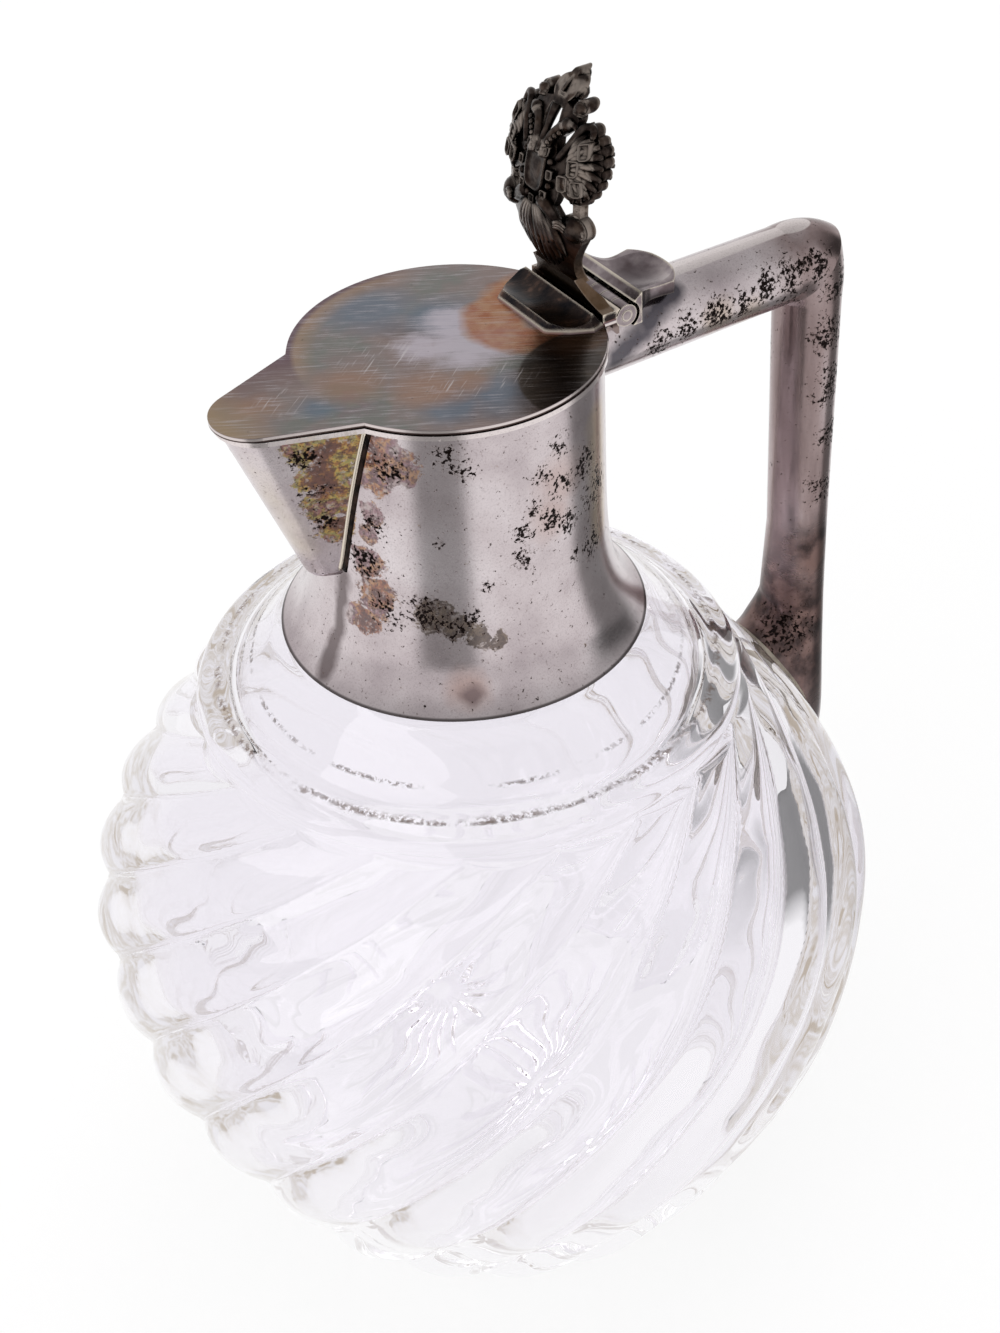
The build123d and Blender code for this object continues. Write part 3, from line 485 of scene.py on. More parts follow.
def escutcheon(middle, width, height, proud, turn=0.0):
    """Bare shield: nested outlines, square at the top and pointed at the foot, that rise from
    the sheet to a raised border and drop to a flat field."""
    angle = np.linspace(0, 2 * math.pi, 40, endpoint=False)
    across = np.sign(np.cos(angle)) * np.abs(np.cos(angle)) ** 0.25
    up = np.sign(np.sin(angle)) * np.abs(np.sin(angle)) ** 0.25
    across = across * np.where(up < 0, 1 - 0.35 * up ** 4, 1)
    spin = np.array([[math.cos(turn), math.sin(turn)], [-math.sin(turn), math.cos(turn)]])
    outline = np.column_stack([across * width / 2, up * height / 2]) @ spin
    scale = [1.0, 1.0, 0.96, 0.84, 0.80, 0.45, 0.1]
    rise = [-0.5, 0.7 * proud, proud, proud, 0.55 * proud, 0.6 * proud, 0.62 * proud]
    rings = [on_dish(np.asarray(middle) + part * outline, level) for part, level in zip(scale, rise)]
    return close_ends(np.vstack(rings), len(rings), 40)


def joined(parts):
    """One list of points and faces out of several."""
    points, faces, start = [], [], 0
    for some_points, some_faces in parts:
        points.append(some_points)
        faces += [[corner + start for corner in face] for face in some_faces]
        start += len(some_points)
    return np.vstack(points), faces


def feather(root, tip, width, proud, bend):
    """Feather: a bar from root to tip, bent aside in the middle, widest before the tip."""
    root, tip = np.asarray(root, float), np.asarray(tip, float)
    across = np.array([-(tip - root)[1], (tip - root)[0]])
    swell = [part * width for part in (0.45, 0.85, 1.0, 0.9, 0.4)]
    return bar([root, (root + tip) / 2 + bend * across, tip], swell, proud, 0.8)


# Points of the flat pattern are Y and Z in millimetres, on the side of positive Y
WING = np.array([8.2, 205.4])
# Reach of a row of feathers, their number, their width and how proud they stand
FEATHER_ROWS = ((5.2, 10, 0.82, 0.12), (3.9, 8, 0.72, 0.38), (2.7, 7, 0.62, 0.55))
CASTING = 1.5
WING_EDGE = [(4.3, 206.0), (5.9, 208.6), (7.2, 211.3), (8.8, 211.6), (9.4, 210.2)]
WING_SHIELDS = ((7.0, 203.2, 0.1), (9.7, 203.0, 0.2), (8.4, 205.9, 0.15), (9.5, 208.7, 0.3))
THROAT = [(1.5, 205.6), (1.5, 208.0), (2.6, 210.0), (4.0, 210.9)]
BEAK = [(4.6, 211.3), (5.6, 211.3), (6.3, 210.6)]
LEG = [(2.2, 199.0), (4.0, 197.9), (5.4, 196.5), (6.6, 196.2)]
ORB_R = 2.45
SMALL_CROWN = [
    (0.9, 0.0), (1.0, 0.15), (1.0, 0.4), (0.85, 0.5), (1.15, 0.9), (1.3, 1.4), (1.1, 1.9), (0.6, 2.15),
    (0.25, 2.2), (0.4, 2.35), (0.42, 2.6), (0.25, 2.8)]
ORB_FINIAL = [
    (0.9, 2.1), (1.0, 2.4), (0.7, 2.7), (0.5, 3.0), (0.8, 3.3), (0.85, 3.7), (0.5, 4.0), (0.45, 4.6),
    (0.2, 4.8)]
CROWN_BAND = [
    (1.5, 0.0), (1.75, 0.1), (1.75, 0.35), (1.55, 0.45), (1.55, 0.6), (1.8, 0.7), (1.8, 0.95), (1.6, 1.05)]
CROWN_HALF = [(1.0, 0.9), (1.45, 1.5), (1.65, 2.2), (1.5, 3.0), (1.0, 3.6), (0.4, 3.85)]
CROWN_TOP = (27.9, 0.0, 216.6)


def cast_crest(finish):
    """Relief of a bird with two heads and bare shields: wings of three rows of feathers, necks,
    crowns, a shield on the breast in a chain of beads, legs with orbs, and a fan of tail."""
    wings, shields, beads, birds, crowns, tail = [], [], [], [], [], []
    for side in (-1, 1):
        # Feathers on both faces of the casting
        for back in (False, True):
            for reach, count, width, proud in FEATHER_ROWS:
                level = -CASTING - 0.4 * proud if back else proud
                for index in range(count):
                    spread = math.radians(92 - 178 * index / (count - 1))
                    tip = WING + (0.86 * reach * math.cos(spread), reach * math.sin(spread))
                    root = WING + (0.25 * reach * math.cos(spread) - 1.4, 0.35 * reach * math.sin(spread))
                    wings.append(feather(root * (side, 1), tip * (side, 1), width, level, 0.10 * side))
        wings.append(bar([(side * y, z) for y, z in WING_EDGE], [0.6, 0.7, 0.75, 0.7, 0.5], 0.1))
        for y, z, turn in WING_SHIELDS:
            shields.append(escutcheon((side * y, z), 2.0, 2.6, 1.2, side * turn))
        # Neck, head and beak, and a row of beads down the neck
        birds.append(bar([(side * y, z) for y, z in THROAT], [1.3, 1.0, 0.85, 1.0], 0.1))
        birds.append(ball(on_dish([(side * 4.2, 211.1)], 0.1)[0], 1.2))
        birds.append(bar([(side * y, z) for y, z in BEAK], [0.7, 0.5, 0.15], 0.2))
        for row in range(7):
            spot = (side * (1.2 + 0.22 * row + 0.04 * row ** 2), 206.4 + 0.62 * row)
            birds.append(ball(on_dish([spot], 0.95)[0], 0.42))
        seat = on_dish([(side * 4.7, 212.3)], -0.4)[0]
        crowns.append(turned(seat, (0.7, 0.22 * side, 1.0), SMALL_CROWN))
        # Leg, three claws, and an orb with its ring and finial
        birds.append(bar([(side * y, z) for y, z in LEG], [1.25, 1.15, 0.9, 0.7], 0.2))
        for claw in range(3):
            knuckles = [(6.2, 196.0 + 0.3 * claw), (7.3, 196.0 + 0.5 * claw)]
            nail = (8.1 + 0.2 * claw, 195.4 + 0.5 * claw)
            birds.append(bar([(side * y, z) for y, z in knuckles + [nail]], [0.45, 0.4, 0.2], 1.3))
        orb = on_dish([(side * 8.6, 195.7)], -0.75)[0]
        birds.append(ball(orb, ORB_R))
        turn = np.linspace(0, 2 * math.pi, 25)
        ring = np.column_stack([
            0.3 * np.cos(turn), 0.95 * np.cos(turn), 0.3 * np.sin(turn) + 0.1 * np.cos(turn)])
        birds.append(rod(orb + ORB_R * ring, np.full(25, 0.26), 1.0, 6))
        birds.append(turned(orb, (0.05, 0.12 * side, 1.0), ORB_FINIAL))
        # Chain round the breast, of beads and little shields in turn
        for link in range(8):
            angle = math.radians(78 - 168 * link / 7)
            spot = (side * 3.9 * math.cos(angle), 203.1 + 4.6 * math.sin(angle))
            if link % 2:
                shields.append(escutcheon(spot, 1.25, 1.5, 0.95))
            else:
                beads.append(ball(on_dish([spot], 0.35)[0], 0.62))
        # Long and short tail feathers
        for index in range(4):
            root = (side * (0.7 + 0.6 * index), 197.6)
            tip = (side * (1.3 + 1.55 * index), 186.3 + 0.75 * index ** 1.4)
            tail.append(feather(root, tip, 0.95, 0.1, 0.06 * side))
            root = (side * (0.3 + 0.45 * index), 197.8)
            tip = (side * (0.6 + 1.35 * index), 190.6 + 0.5 * index)
            tail.append(feather(root, tip, 0.75, 0.55, 0.05 * side))
    shields.append(escutcheon((0.0, 203.3), 5.2, 6.6, 0.9))
    tail.append(feather((0.0, 198.0), (0.0, 186.0), 0.95, 0.15, 0.0))
    # Large crown: a band, two swelling halves, a hoop and a ball
    seat = on_dish([(0.0, 212.9)], -1.6)[0]
    lean = np.array([0.62, 0.0, 0.785])
    front = np.array([0.785, 0.0, -0.62])
    crowns.append(turned(seat, lean, CROWN_BAND, 24))
    for half in (-1, 1):
        crowns.append(turned(seat + (0, 0.8 * half, 0), (0.62, 0.24 * half, 0.785), CROWN_HALF, 18))
    turn = np.linspace(-0.2, math.pi + 0.2, 15)
    hoop = seat + np.outer(1.8 * np.cos(turn), front) + np.outer(1.4 + 2.7 * np.sin(turn), lean)
    crowns.append(rod(hoop, np.full(15, 0.34), 1.0, 8))
    crowns.append(ball(CROWN_TOP, 1.18))
    birds.append(bar([(0.0, 206.0), (0.0, 209.6), (0.0, 212.9)], [1.1, 0.6, 0.9], 0.0))
    for name, parts in (("crest_wings", wings), ("crest_shields", shields), ("crest_beads", beads),
                        ("crest_bird", birds), ("crest_crowns", crowns), ("crest_tail", tail)):
        mesh_piece(name, *joined(parts), finish, "lid", "oxidised_silver")


# Seams of the spout

SEAM_FOOT, SEAM_TOP = 146.4, 176.2
# Heights of the spout's foot and mouth, and at both its apex and its half width at the root
SPOUT_HEIGHTS = (144.6, 176.3)
APEX_X = (-35.0, -53.6)
ROOT_HALF_WIDTH = (5.5, 12.3)
ROOT_X = -22.3
# Profile of the collar
COLLAR_HEIGHTS = [125.1, 128.0, 132.0, 137.0, 143.0, 149.0, 155.0]
COLLAR_RADII = [32.2, 30.2, 28.3, 26.8, 25.9, 25.55, 25.5]


def spout_seams(lip, groove):
    """Seam of the spout where it is soldered on: a round lip along the line where each flat
    cheek of the spout meets the round collar, and beside it on the collar a black strip of
    painted shadow under the lip's edge. At a height the cheek is a straight line to the apex,
    and the lip sits where that line meets the collar's circle."""
    height = np.linspace(SEAM_FOOT, SEAM_TOP, 40)
    apex = np.interp(height, SPOUT_HEIGHTS, APEX_X)
    slope = np.interp(height, SPOUT_HEIGHTS, ROOT_HALF_WIDTH) / (ROOT_X - apex)
    collar = np.interp(height, COLLAR_HEIGHTS, COLLAR_RADII)
    a, b, c = 1 + slope ** 2, -2 * slope ** 2 * apex, slope ** 2 * apex ** 2 - collar ** 2
    x = (-b - np.sqrt(b ** 2 - 4 * a * c)) / (2 * a)
    bearing = np.arctan2(slope * (x - apex), -x)
    for name, beside, proud, thick, wide, finish, slot in (
            ("lip", -0.2, 0.05, 0.5, 0.45, lip, "silver"),
            # A black strip beside the lip: painted shadow
            ("seam_shadow", 0.65, -0.2, 0.35, 0.55, groove, "oxidised_silver")):
        angle = bearing + beside / collar
        reach = collar + proud
        for place, side in (("near", -1), ("far", 1)):
            path = np.column_stack([-reach * np.cos(angle), side * reach * np.sin(angle), height])
            seam = swept(path, path * (1, 1, 0), thick, wide, 12)
            mesh_piece(f"spout_{name}_{place}", *seam, finish, "jug", slot)


# Finishes. Marks are a centre and a reach in millimetres

RAINBOW = [
    (0.38, "#7a5344"), (0.43, "#b07c48"), (0.47, "#d2b05a"), (0.51, "#a9a568"), (0.55, "#b48a58"),
    (0.59, "#9a6a70"), (0.64, "#c9b48c")]
COPPERY = [
    (0.38, "#6a4a42"), (0.44, "#a0684e"), (0.49, "#bd9268"), (0.54, "#8e6a72"), (0.58, "#a5858a"),
    (0.63, "#c0afae")]
OLIVE = [(0.4, "#57483c"), (0.6, "#85745f")]
CHEEK_CRUST = [
    ((-31.5, -8, 174), 5), ((-26, -9.5, 173), 7), ((-28, -8, 168), 7), ((-27.5, -7.5, 162), 6),
    ((-26.5, -6.5, 156), 4.5), ((-29, 8, 168), 8)]
SEAM_CRUST = [
    ((-20.5, -15, 172.5), 6), ((-22, -13.5, 168), 5.5), ((-18.6, -17.2, 169.5), 3.6),
    ((-22.8, -12, 161), 3.4), ((-23, -11, 156), 3), ((-23.5, -10.5, 150), 4.5), ((-23.5, -11.5, 144), 5.5),
    ((-24.5, -9, 138.5), 4.5)]
BLOT = [
    ((-14, -22, 140), 4.2), ((-11.5, -23.8, 138), 3.6), ((-8.6, -25.6, 137), 2.4),
    ((-17, -19.5, 142), 4.5)]
PITS_BY_SEAM = [
    ((-13.5, -21.7, 173), 3.6), ((-11.5, -22.8, 170), 3.4), ((-15.3, -20.4, 156.5), 1.6),
    ((-18, -18.3, 143), 5), ((-15, -21.3, 139.5), 4.5), ((-22, -13.5, 141), 5), ((-24, -10, 150), 4.5),
    ((-22.8, -12, 158), 3.5), ((-20.5, -15, 170), 4.5), ((-9, -24, 147), 1.5), ((-12, -23, 141.5), 3)]
PITS_BY_HANDLE = [
    ((1.5, -25.4, 165.5), 2.6), ((-0.5, -25.4, 160), 2.6), ((-2.5, -25.4, 156), 3.2),
    ((-3.2, -25.2, 151), 3.2), ((2.5, -25.3, 156.5), 3.2), ((5, -25, 162), 4), ((6, -24.8, 154), 4),
    ((11, -23, 163), 5), ((14, -21.3, 156), 6), ((12.5, -22.3, 147), 5), ((8, -24.3, 147.5), 2.6),
    ((5, -25, 170), 3.4)]
PITS_ON_SPOUT = [
    ((-31.8, -8.2, 172), 4), ((-29.6, -7, 164), 3.6), ((-28.3, -6, 158), 3.2), ((-25.4, -7, 153), 3)]
PITS_ON_HANDLE = [
    ((37, -7, 167.5), 4.5), ((43, -7, 169), 4.5), ((49, -6.8, 169.5), 4.5), ((55, -6.8, 169), 4.5),
    ((60, -6.4, 171), 5), ((66, -6, 171.5), 5.5), ((71, -5.6, 171), 5.5), ((66, -6.4, 166.5), 4),
    ((77, -4, 166), 6), ((76, -5, 156), 6), ((77, -4, 145), 7), ((78, -4, 134), 6), ((76, -5, 122), 5),
    ((70, -4, 90), 8), ((74, 4, 150), 7), ((40, 6, 168), 7)]
PITS_BEHIND = [((0, 25, 160), 7), ((-14, 22, 148), 6), ((16, 21, 150), 6)]
PITS = PITS_BY_SEAM + PITS_BY_HANDLE + PITS_ON_SPOUT + PITS_ON_HANDLE + PITS_BEHIND
LID_BLUE = [
    ((-5, 16, 178), 10), ((3, 8, 178), 9), ((-2, -18, 178), 8), ((-10, -17, 178), 6),
    ((-26, -5, 178), 5)]
LID_ORANGE = [((-19, -2, 178), 7), ((-10, -10, 178), 7), ((-3, -12, 178), 5), ((-34, 1, 178), 5)]
LID_RUBBED_AND_HIGHLIGHT = [((-4, 1, 178), 6.5), ((1, -2, 178), 9), ((6, -4, 178), 7.5), ((4, 5, 178), 7)]
LID_SCRATCHED = [((-11, 1, 178), 8), ((-5, -11, 178), 7), ((3, -15, 178), 5), ((-30, 1, 178), 5)]
LID_STAIN = (16, -24, 178)
BRIDGE_MIDDLE = (18, -2, 178)


def lead_crystal():
    """Crystal, blown in a mould and fire polished: clear with a breath of lilac, faintly wavy,
    and with brown grime left in the steps of the shoulder. Where a ray has turned inside the
    wall more than twice, or gone more than eight bounces deep, the glass glows pale and
    slightly tan in blotches drawn out upright: painted light in place of the light that would
    come out there."""
    made, tree, place = material("lead_crystal")
    ripple = cloud(tree, place, 14.0, 1.0)
    bump = add(tree, "Bump", {"Strength": 0.25, "Distance": 0.0008, "Height": ripple})
    height = add(tree, "SeparateXYZ", {0: place}).outputs["Z"]
    bands = []
    for level in (0.1094, 0.1142):
        off = add(tree, "Math", {0: height, 1: level}, operation="SUBTRACT")
        size = add(tree, "Math", {0: off}, operation="ABSOLUTE")
        bands.append(add(tree, "MapRange", {0: size, 1: 0.00035, 2: 0.0001}))
    broken = add(tree, "MapRange", {0: cloud(tree, place, 9.0), 1: 0.40, 2: 0.52})
    grains = add(tree, "MapRange", {0: cloud(tree, place, 0.9, 4.0), 1: 0.46, 2: 0.54})
    grime = meet(tree, either(tree, *bands), broken, grains)
    clear = add(tree, "BsdfPrincipled", {
        "Base Color": "#f6f4f8", "Roughness": 0.0, "IOR": 1.46, "Transmission Weight": 1.0, "Normal": bump})
    # Painted light: the glass glows pale and slightly tan where rays stay trapped in the wall
    glow_tones = add(tree, "ValToRGB", {0: cloud(tree, place, 5.0, 3.0, (1, 1, 3))}, [
        (0.40, "#f1eff3"), (0.48, "#d6cec6"), (0.55, "#efedf0"), (0.64, "#c4b8aa")])
    painted_glow = add(tree, "Emission", {"Color": glow_tones, "Strength": 0.92})
    path = add(tree, "LightPath").outputs
    turns = add(tree, "Math", {0: path["Glossy Depth"], 1: 2.5}, operation="GREATER_THAN")
    deep = add(tree, "Math", {0: path["Ray Depth"], 1: 8.5}, operation="GREATER_THAN")
    body = add(tree, "MixShader", {0: either(tree, turns, deep), 1: clear, 2: painted_glow})
    dirt = add(tree, "BsdfPrincipled", {"Base Color": "#6a564b", "Roughness": 0.8})
    return dressed(made, add(tree, "MixShader", {0: meet(tree, grime, 0.7), 1: body, 2: dirt}))


def satin_silver():
    """Sterling silver, worn and long unpolished: a mauve grey metal with fine wiping
    scratches, rainbow tarnish beside the spout, brown clouds and clusters of black pits."""
    made, tree, place = material("sterling_silver")
    loose = wander(tree, place, 5.0, 1.6)
    axes = add(tree, "SeparateXYZ", {0: place}).outputs
    grey = cloud(tree, place, 16.0, 4.0)
    tone = add(tree, "ValToRGB", {0: grey}, [(0.3, "#b0a4a7"), (0.5, "#cbc0c2"), (0.7, "#dbd2d4")])
    # The handle is browner than the collar and darkest at its foot
    handle = add(tree, "MapRange", {0: add(tree, "SeparateXYZ", {0: loose}).outputs["X"], 1: 0.060, 2: 0.068})
    brown = add(tree, "ValToRGB", {0: cloud(tree, place, 7.0, 5.0, (1, 1, 6))}, [
        (0.35, "#6f5a57"), (0.5, "#8f7b79"), (0.65, "#ab9b9b")])
    foot = patches(tree, loose, [((70, -3, 92), 20), ((72, -3, 82), 18), ((76, -5, 108), 10)])
    soot = add(tree, "ValToRGB", {0: cloud(tree, place, 4.0, 5.0)}, [
        (0.38, "#2c211f"), (0.5, "#55423f"), (0.62, "#7a615b")])
    # Crusts of tarnish on the cheeks of the spout, on the collar beside the seam and below it
    cheek = ragged(tree, loose, CHEEK_CRUST)
    beside = ragged(tree, loose, SEAM_CRUST)
    blot = ragged(tree, loose, BLOT)
    # A drop's mark over the collar's foot, and below the spout a dark band that is a painted
    # reflection of the spout's heel
    halo = patches(tree, loose, [((-14.5, -25.2, 129.3), 5)])
    drop = patches(tree, loose, [((-14.3, -25.6, 128.3), 2.6)])
    spout_heel_reflection = either(tree, stroke(tree, loose, (-24.7, -5, 145), (-27.2, -3.5, 132.5), 2.4),
                   stroke(tree, loose, (-27.2, -3.5, 132.5), (-30.4, -4, 126.5), 2.6))
    # Thin films: straw and rust on the collar, cream on the spout's nose, and straw on the arm
    # behind the hinge. Below the hinge the arm is painted dark blue: painted shade, the dark
    # reflection of the hinge's shaded underside
    golden = stroke(tree, loose, (15, -20.5, 168), (15.5, -20.3, 148), 5)
    rusty = patches(tree, loose, [((5, -25, 163), 7), ((3, -25.3, 157), 6)])
    nose = stroke(tree, loose, (-42, -6, 172), (-33, -4, 152), 5)
    # Painted shade: dark blue on the arm below the hinge
    blue = stroke(tree, loose, (28.5, -7, 168.5), (42, -4.2, 175.6), 3.2)
    straw = patches(tree, loose, [((50, -7, 168), 5), ((57, -7, 166), 5)])
    # Pits: black dots where a fine cloud rises over a limit that the clusters bring down
    scattered = add(tree, "MapRange", {0: cloud(tree, place, 3.5), 1: 0.30, 2: 0.50})
    cluster = meet(tree, patches(tree, loose, PITS), scattered)
    rising = total(tree, cloud(tree, place, 0.72, 4.0, None, 0.66), (cluster, 0.185))
    ring = add(tree, "MapRange", {0: rising, 1: 0.60, 2: 0.68})
    pit = add(tree, "MapRange", {0: rising, 1: 0.655, 2: 0.685})
    # A dark line of painted shadow where the collar's foot meets the glass, and a pale band on
    # the wire at the mouth
    line = meet(tree, add(tree, "MapRange", {0: axes["Z"], 1: 0.12552, 2: 0.12532}),
                add(tree, "MapRange", {0: axes["X"], 1: 0.045, 2: 0.040}))
    wire = meet(tree, add(tree, "MapRange", {0: axes["Z"], 1: 0.17626, 2: 0.17634}),
                add(tree, "MapRange", {0: axes["Z"], 1: 0.1775, 2: 0.1773}))
    # Fine wiping scratches and a grain like that of rolled sheet
    wiped = cloud(tree, place, 0.4, 2.0, (8, 8, 1))
    grain = cloud(tree, place, 0.35, 2.0)
    tone = films(
        tree, tone, (handle, 0.85, brown), (foot, 0.9, soot),
        (cheek, 0.9, speckled(tree, place, RAINBOW, "#57403a")),
        (beside, 0.8, speckled(tree, place, COPPERY, "#54403f")),
        (blot, 0.8, speckled(tree, place, OLIVE, "#3f332c")),
        (halo, 0.5, "#ab8576"), (drop, 0.7, "#6b595c"), (spout_heel_reflection, 0.75, "#4d3e3e"),
        (golden, 0.55, "#c8b184"), (rusty, 0.35, "#b08a7a"), (nose, 0.45, "#e0d6bc"),
        (blue, 0.85, "#242634"), (straw, 0.4, "#b59f7c"),
        (ring, 0.45, "#7a625a"), (pit, 1.0, "#1b1311"),
        (line, 0.8, "#2b2422"), (wire, 0.8, "#e6dcda"),
        (add(tree, "MapRange", {0: grain, 1: 0.52, 2: 0.66}), 0.16, "#6f6468"))
    crusts = either(tree, cheek, beside)
    rough = total(tree, 0.10, (grey, 0.10), (wiped, 0.10), (pit, 0.4), (crusts, 0.22), (foot, 0.12))
    height = total(tree, 0.0, (wiped, 0.15), (grain, 0.15), (pit, -1.0))
    bump = add(tree, "Bump", {"Strength": 0.35, "Distance": 0.0001, "Height": height})
    return dressed(made, add(tree, "BsdfPrincipled", {
        "Base Color": tone, "Metallic": 1.0, "Roughness": rough, "Normal": bump}))


def lid_silver():
    """Sterling silver sheet, brushed and deeply tarnished: a film that runs from mauve brown
    through straw and copper to blue, rubbed bright in the middle, where the pale also stands
    for a painted highlight, nearly black on the bridge, and brown in one clean-edged stain at
    the front of the lid. The brushing carries a painted sheen, and a dark line of painted
    shadow on the sheet's edge marks the gap over the rim wire."""
    made, tree, place = material("tarnished_lid_silver")
    loose = wander(tree, place, 9.0, 3.0)
    axes = add(tree, "SeparateXYZ", {0: place}).outputs
    lay = add(tree, "Mapping", {"Vector": place, "Rotation": (0, 0, math.radians(31))})
    brushed = cloud(tree, lay, 0.4, 3.0, (16, 1, 1))
    film = add(tree, "ValToRGB", {0: cloud(tree, place, 15.0, 5.0)}, [
        (0.32, "#7d6c68"), (0.44, "#8f7f7b"), (0.54, "#897e7b"), (0.64, "#7d7d78"), (0.72, "#857679")])
    # Fringes along the far rim of the round part: straw, then purple
    flat = add(tree, "VectorMath", {0: place, 1: (1, 1, 0)}, operation="MULTIPLY")
    reach = add(tree, "VectorMath", {0: flat}, operation="LENGTH")
    far = sector(tree, place, 125, 42, 12)
    straw = meet(tree, far, add(tree, "MapRange", {0: reach, 1: 0.0212, 2: 0.0240}))
    purple = meet(tree, far, add(tree, "MapRange", {0: reach, 1: 0.0246, 2: 0.0255}))
    tip = add(tree, "MapRange", {0: axes["X"], 1: -0.034, 2: -0.041})
    # Metal rubbed bright in the middle, whose pale patches also serve as a painted highlight,
    # with a copper coloured ring over it round the bridge
    worn = total(tree, patches(tree, loose, LID_RUBBED_AND_HIGHLIGHT), (brushed, 1.0), (cloud(tree, place, 2.5, 4.0), 0.8))
    rubbed = add(tree, "MapRange", {0: worn, 1: 0.95, 2: 1.9})
    away = distance(tree, loose, BRIDGE_MIDDLE)
    ring = meet(tree, add(tree, "MapRange", {0: away, 1: 0.0145, 2: 0.0125}),
                add(tree, "MapRange", {0: away, 1: 0.0030, 2: 0.0055}))
    copper = add(tree, "ValToRGB", {0: cloud(tree, place, 3.0)}, [(0.38, "#a25a28"), (0.62, "#b3815a")])
    stain = add(tree, "MapRange", {0: distance(tree, place, LID_STAIN), 1: 0.0152, 2: 0.0147})
    umber = add(tree, "ValToRGB", {0: cloud(tree, place, 7.0, 4.0)}, [(0.4, "#352b24"), (0.6, "#54473a")])
    # Scratches that cross the brushing, and dark specks
    cross = add(tree, "Mapping", {"Vector": place, "Rotation": (0, 0, math.radians(-38))})
    scratch = add(tree, "MapRange", {0: cloud(tree, cross, 0.35, 2.0, (22, 1, 1)), 1: 0.60, 2: 0.66})
    scratched = meet(tree, scratch, patches(tree, loose, LID_SCRATCHED))
    speck = add(tree, "MapRange", {0: cloud(tree, place, 0.8, 4.0), 1: 0.70, 2: 0.74})
    # The bridge is black in its faces and rubbed to bare silver along its edges
    bridge = add(tree, "MapRange", {0: axes["Z"], 1: 0.1782, 2: 0.1785})
    black = add(tree, "ValToRGB", {0: cloud(tree, place, 3.0, 4.0)}, [
        (0.35, "#1c1a1e"), (0.55, "#3a302d"), (0.7, "#6b5348")])
    arris = add(tree, "AmbientOcclusion", {"Distance": 0.0009}, samples=6, inside=True).outputs["AO"]
    bare = meet(tree, bridge, add(tree, "MapRange", {0: arris, 1: 0.62, 2: 0.45}))
    # The sheet's edge is pale above and below a dark line, which is a painted shadow of the gap
    # over the rim wire, and the underside, which saw less air, is silver grey
    facing = add(tree, "SeparateXYZ", {0: add(tree, "TexCoord").outputs["Normal"]}).outputs["Z"]
    edge = meet(tree, add(tree, "MapRange", {0: facing, 1: 0.9, 2: 0.4}),
                add(tree, "MapRange", {0: facing, 1: -0.9, 2: -0.4}),
                add(tree, "MapRange", {0: bridge, 3: 1.0, 4: 0.0}))
    edge_bands_gap_shadow = add(tree, "ValToRGB", {0: add(tree, "MapRange", {0: axes["Z"], 1: 0.1766, 2: 0.1781})}, [
        (0.0, "#8a7a76"), (0.40, "#4c3d3a"), (0.60, "#51423f"), (0.68, "#ddd2cf"), (0.9, "#d3c8c6"),
        (1.0, "#6c5a60")])
    under = add(tree, "MapRange", {0: facing, 1: -0.4, 2: -0.9})
    clean = add(tree, "ValToRGB", {0: cloud(tree, place, 12.0, 4.0)}, [(0.35, "#8f8386"), (0.65, "#c2b8ba")])
    film = films(
        tree, film, (patches(tree, loose, LID_BLUE), 0.65, "#64788a"),
        (patches(tree, loose, LID_ORANGE), 0.5, "#a87e63"),
        (straw, 0.4, "#b08a62"), (purple, 0.7, "#57425a"), (tip, 0.5, "#b3986c"),
        (rubbed, 0.85, "#cdc4ce"), (ring, 0.8, copper), (stain, 0.88, umber),
        (scratched, 0.6, "#d6cfd0"), (speck, 0.5, "#3d3330"),
        # Pale stripes along the brushing: its grain, and a painted sheen
        (add(tree, "MapRange", {0: brushed, 1: 0.5, 2: 0.75}), 0.22, "#d8d2d4"),
        (bridge, 1.0, black), (bare, 1.0, "#dccfc0"), (edge, 1.0, edge_bands_gap_shadow), (under, 0.85, clean))
    rough = total(tree, 0.15, (brushed, 0.16), (rubbed, 0.10), (bridge, 0.06))
    bump = add(tree, "Bump", {"Strength": 0.3, "Distance": 0.00008, "Height": brushed})
    return dressed(made, add(tree, "BsdfPrincipled", {
        "Base Color": film, "Metallic": 1.0, "Roughness": rough, "Normal": bump}))


def cast_silver():
    """Cast silver blackened by sulphur: black in the hollows, dark brown on the faces, and
    rubbed to a pale line on the proud edges, which also stands as a painted highlight."""
    made, tree, place = material("oxidised_cast_silver")
    base = add(tree, "ValToRGB", {0: cloud(tree, place, 3.0, 5.0)}, [
        (0.35, "#171211"), (0.52, "#2b221f"), (0.7, "#473930")])
    hollow = add(tree, "AmbientOcclusion", {"Distance": 0.0016}, samples=6).outputs["AO"]
    open_air = add(tree, "MapRange", {0: hollow, 1: 0.5, 2: 0.95})
    shut_in = add(tree, "MapRange", {0: open_air, 3: 1.0, 4: 0.0})
    arris = add(tree, "AmbientOcclusion", {"Distance": 0.0005}, samples=6, inside=True).outputs["AO"]
    rubbed = add(tree, "MapRange", {0: cloud(tree, place, 1.6, 4.0), 1: 0.40, 2: 0.60})
    # Pale line on the proud edges: rubbed metal and a painted highlight
    pale = meet(tree, add(tree, "MapRange", {0: arris, 1: 0.60, 2: 0.42}), open_air)
    # Golden brown film where the foot runs down to the hinge
    height = add(tree, "SeparateXYZ", {0: place}).outputs["Z"]
    foot = add(tree, "MapRange", {0: height, 1: 0.190, 2: 0.181})
    tone = films(
        tree, base, (meet(tree, open_air, rubbed), 0.14, "#9a8b82"), (pale, 0.38, "#cdbfb4"),
        (shut_in, 0.85, "#0f0b0a"), (foot, 0.5, "#84694f"))
    bump = add(tree, "Bump", {"Strength": 0.5, "Distance": 0.00012, "Height": cloud(tree, place, 0.5, 4.0)})
    return dressed(made, add(tree, "BsdfPrincipled", {
        "Base Color": tone, "Metallic": 1.0, "Roughness": 0.3, "Normal": bump}))


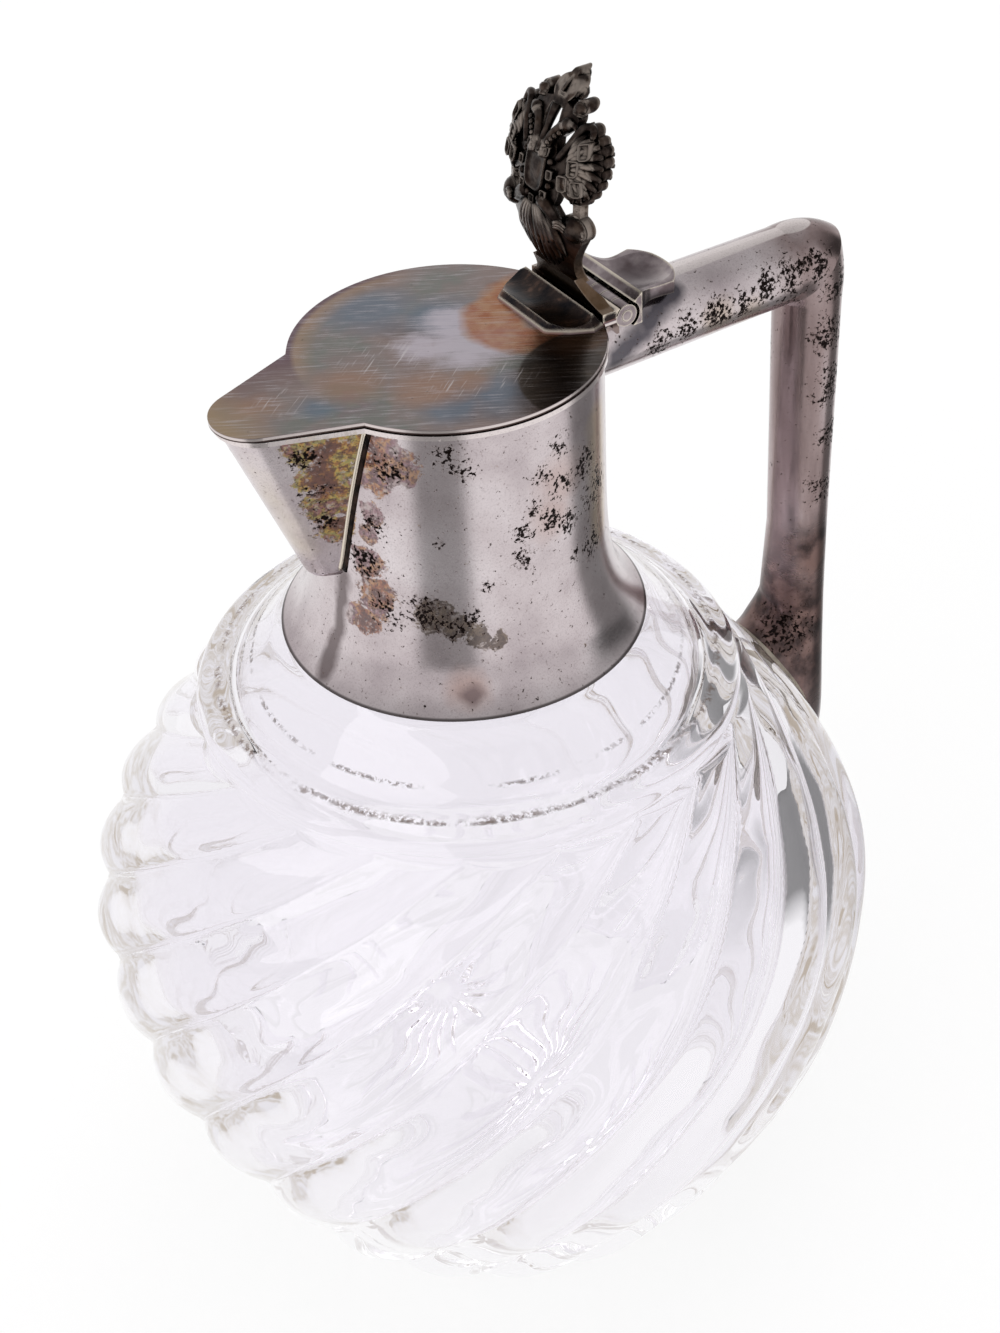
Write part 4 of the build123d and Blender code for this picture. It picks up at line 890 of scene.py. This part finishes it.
def hinge_silver():
    """Silver of the hinge, drawn wire and filed bar: mauve grey, dark in the joints and rubbed
    to a cream white along the edges. Painted shade darkens the middle of the tongue's dish
    and the saddle under the tongue."""
    made, tree, place = material("drawn_hinge_silver")
    axes = add(tree, "SeparateXYZ", {0: place}).outputs
    tone = add(tree, "ValToRGB", {0: cloud(tree, place, 4.0, 4.0)}, [
        (0.35, "#6d6062"), (0.52, "#93878a"), (0.7, "#b4a9a8")])
    hollow = add(tree, "AmbientOcclusion", {"Distance": 0.0016}, samples=6).outputs["AO"]
    arris = add(tree, "AmbientOcclusion", {"Distance": 0.0006}, samples=6, inside=True).outputs["AO"]
    # Painted shade on the saddle under the tongue
    under = meet(tree, add(tree, "MapRange", {0: axes["Z"], 1: 0.1784, 2: 0.1770}),
                 add(tree, "MapRange", {0: axes["X"], 1: 0.0318, 2: 0.0330}))
    tone = films(
        tree, tone, (add(tree, "MapRange", {0: hollow, 1: 0.9, 2: 0.4}), 1.0, "#1d1716"),
        (add(tree, "MapRange", {0: arris, 1: 0.62, 2: 0.45}), 1.0, "#ded3c4"),
        # Painted shade in the middle of the tongue's dish, then on the saddle under the tongue
        (patches(tree, place, [((37.5, 0, 177.5), 6)]), 0.6, "#5d4f52"), (under, 0.85, "#2a2427"))
    rough = total(tree, 0.12, (cloud(tree, place, 0.5), 0.2))
    return dressed(made, add(tree, "BsdfPrincipled", {
        "Base Color": tone, "Metallic": 1.0, "Roughness": rough}))


def seam_shadow():
    """Black strip along the spout's seam: painted shadow of the lip's raised edge."""
    made, tree, place = material("painted_seam_shadow")
    tone = add(tree, "ValToRGB", {0: cloud(tree, place, 2.0, 4.0)}, [(0.4, "#14100f"), (0.6, "#3a2c27")])
    return dressed(made, add(tree, "BsdfPrincipled", {
        "Base Color": tone, "Metallic": 1.0, "Roughness": 0.5}))


def plaster():
    """Plaster of Paris, yellowed: matt, chalky and slightly grainy."""
    made, tree, place = material("yellowed_plaster")
    tone = add(tree, "ValToRGB", {0: cloud(tree, place, 4.0, 4.0)}, [(0.35, "#8c8174"), (0.65, "#c6bcab")])
    bump = add(tree, "Bump", {"Strength": 0.4, "Distance": 0.0002, "Height": cloud(tree, place, 0.7, 4.0)})
    return dressed(made, add(tree, "BsdfPrincipled", {
        "Base Color": tone, "Roughness": 0.85, "Normal": bump}))


def dress(names, finish):
    """Gives CAD nodes one finish in all their slots."""
    for name in names:
        slots = nodes[name].material_slots
        if not slots:
            nodes[name].data.materials.append(finish)
        for place in slots:
            place.material = finish


bpy.context.scene.view_settings.view_transform = "Standard"
make_camera()
make_floor()
make_world()
make_lamps()

silver = satin_silver()
crystal = lead_crystal()
cast = cast_silver()
hinge = hinge_silver()
dress([name for name in nodes if name != "glass_body"], silver)
dress(["lid_plate", "lid_flange", "lid_bridge", "hinge_leaf"], lid_silver())
dress(["thumbpiece"], cast)
dress(["hinge_pin", "fixed_knuckles", "lid_knuckles", "hinge_bar", "hinge_tongue"], hinge)
dress(["neck_cement", "foot_cement"], plaster())
crystal_body(crystal)
cast_crest(cast)
spout_seams(hinge, seam_shadow())
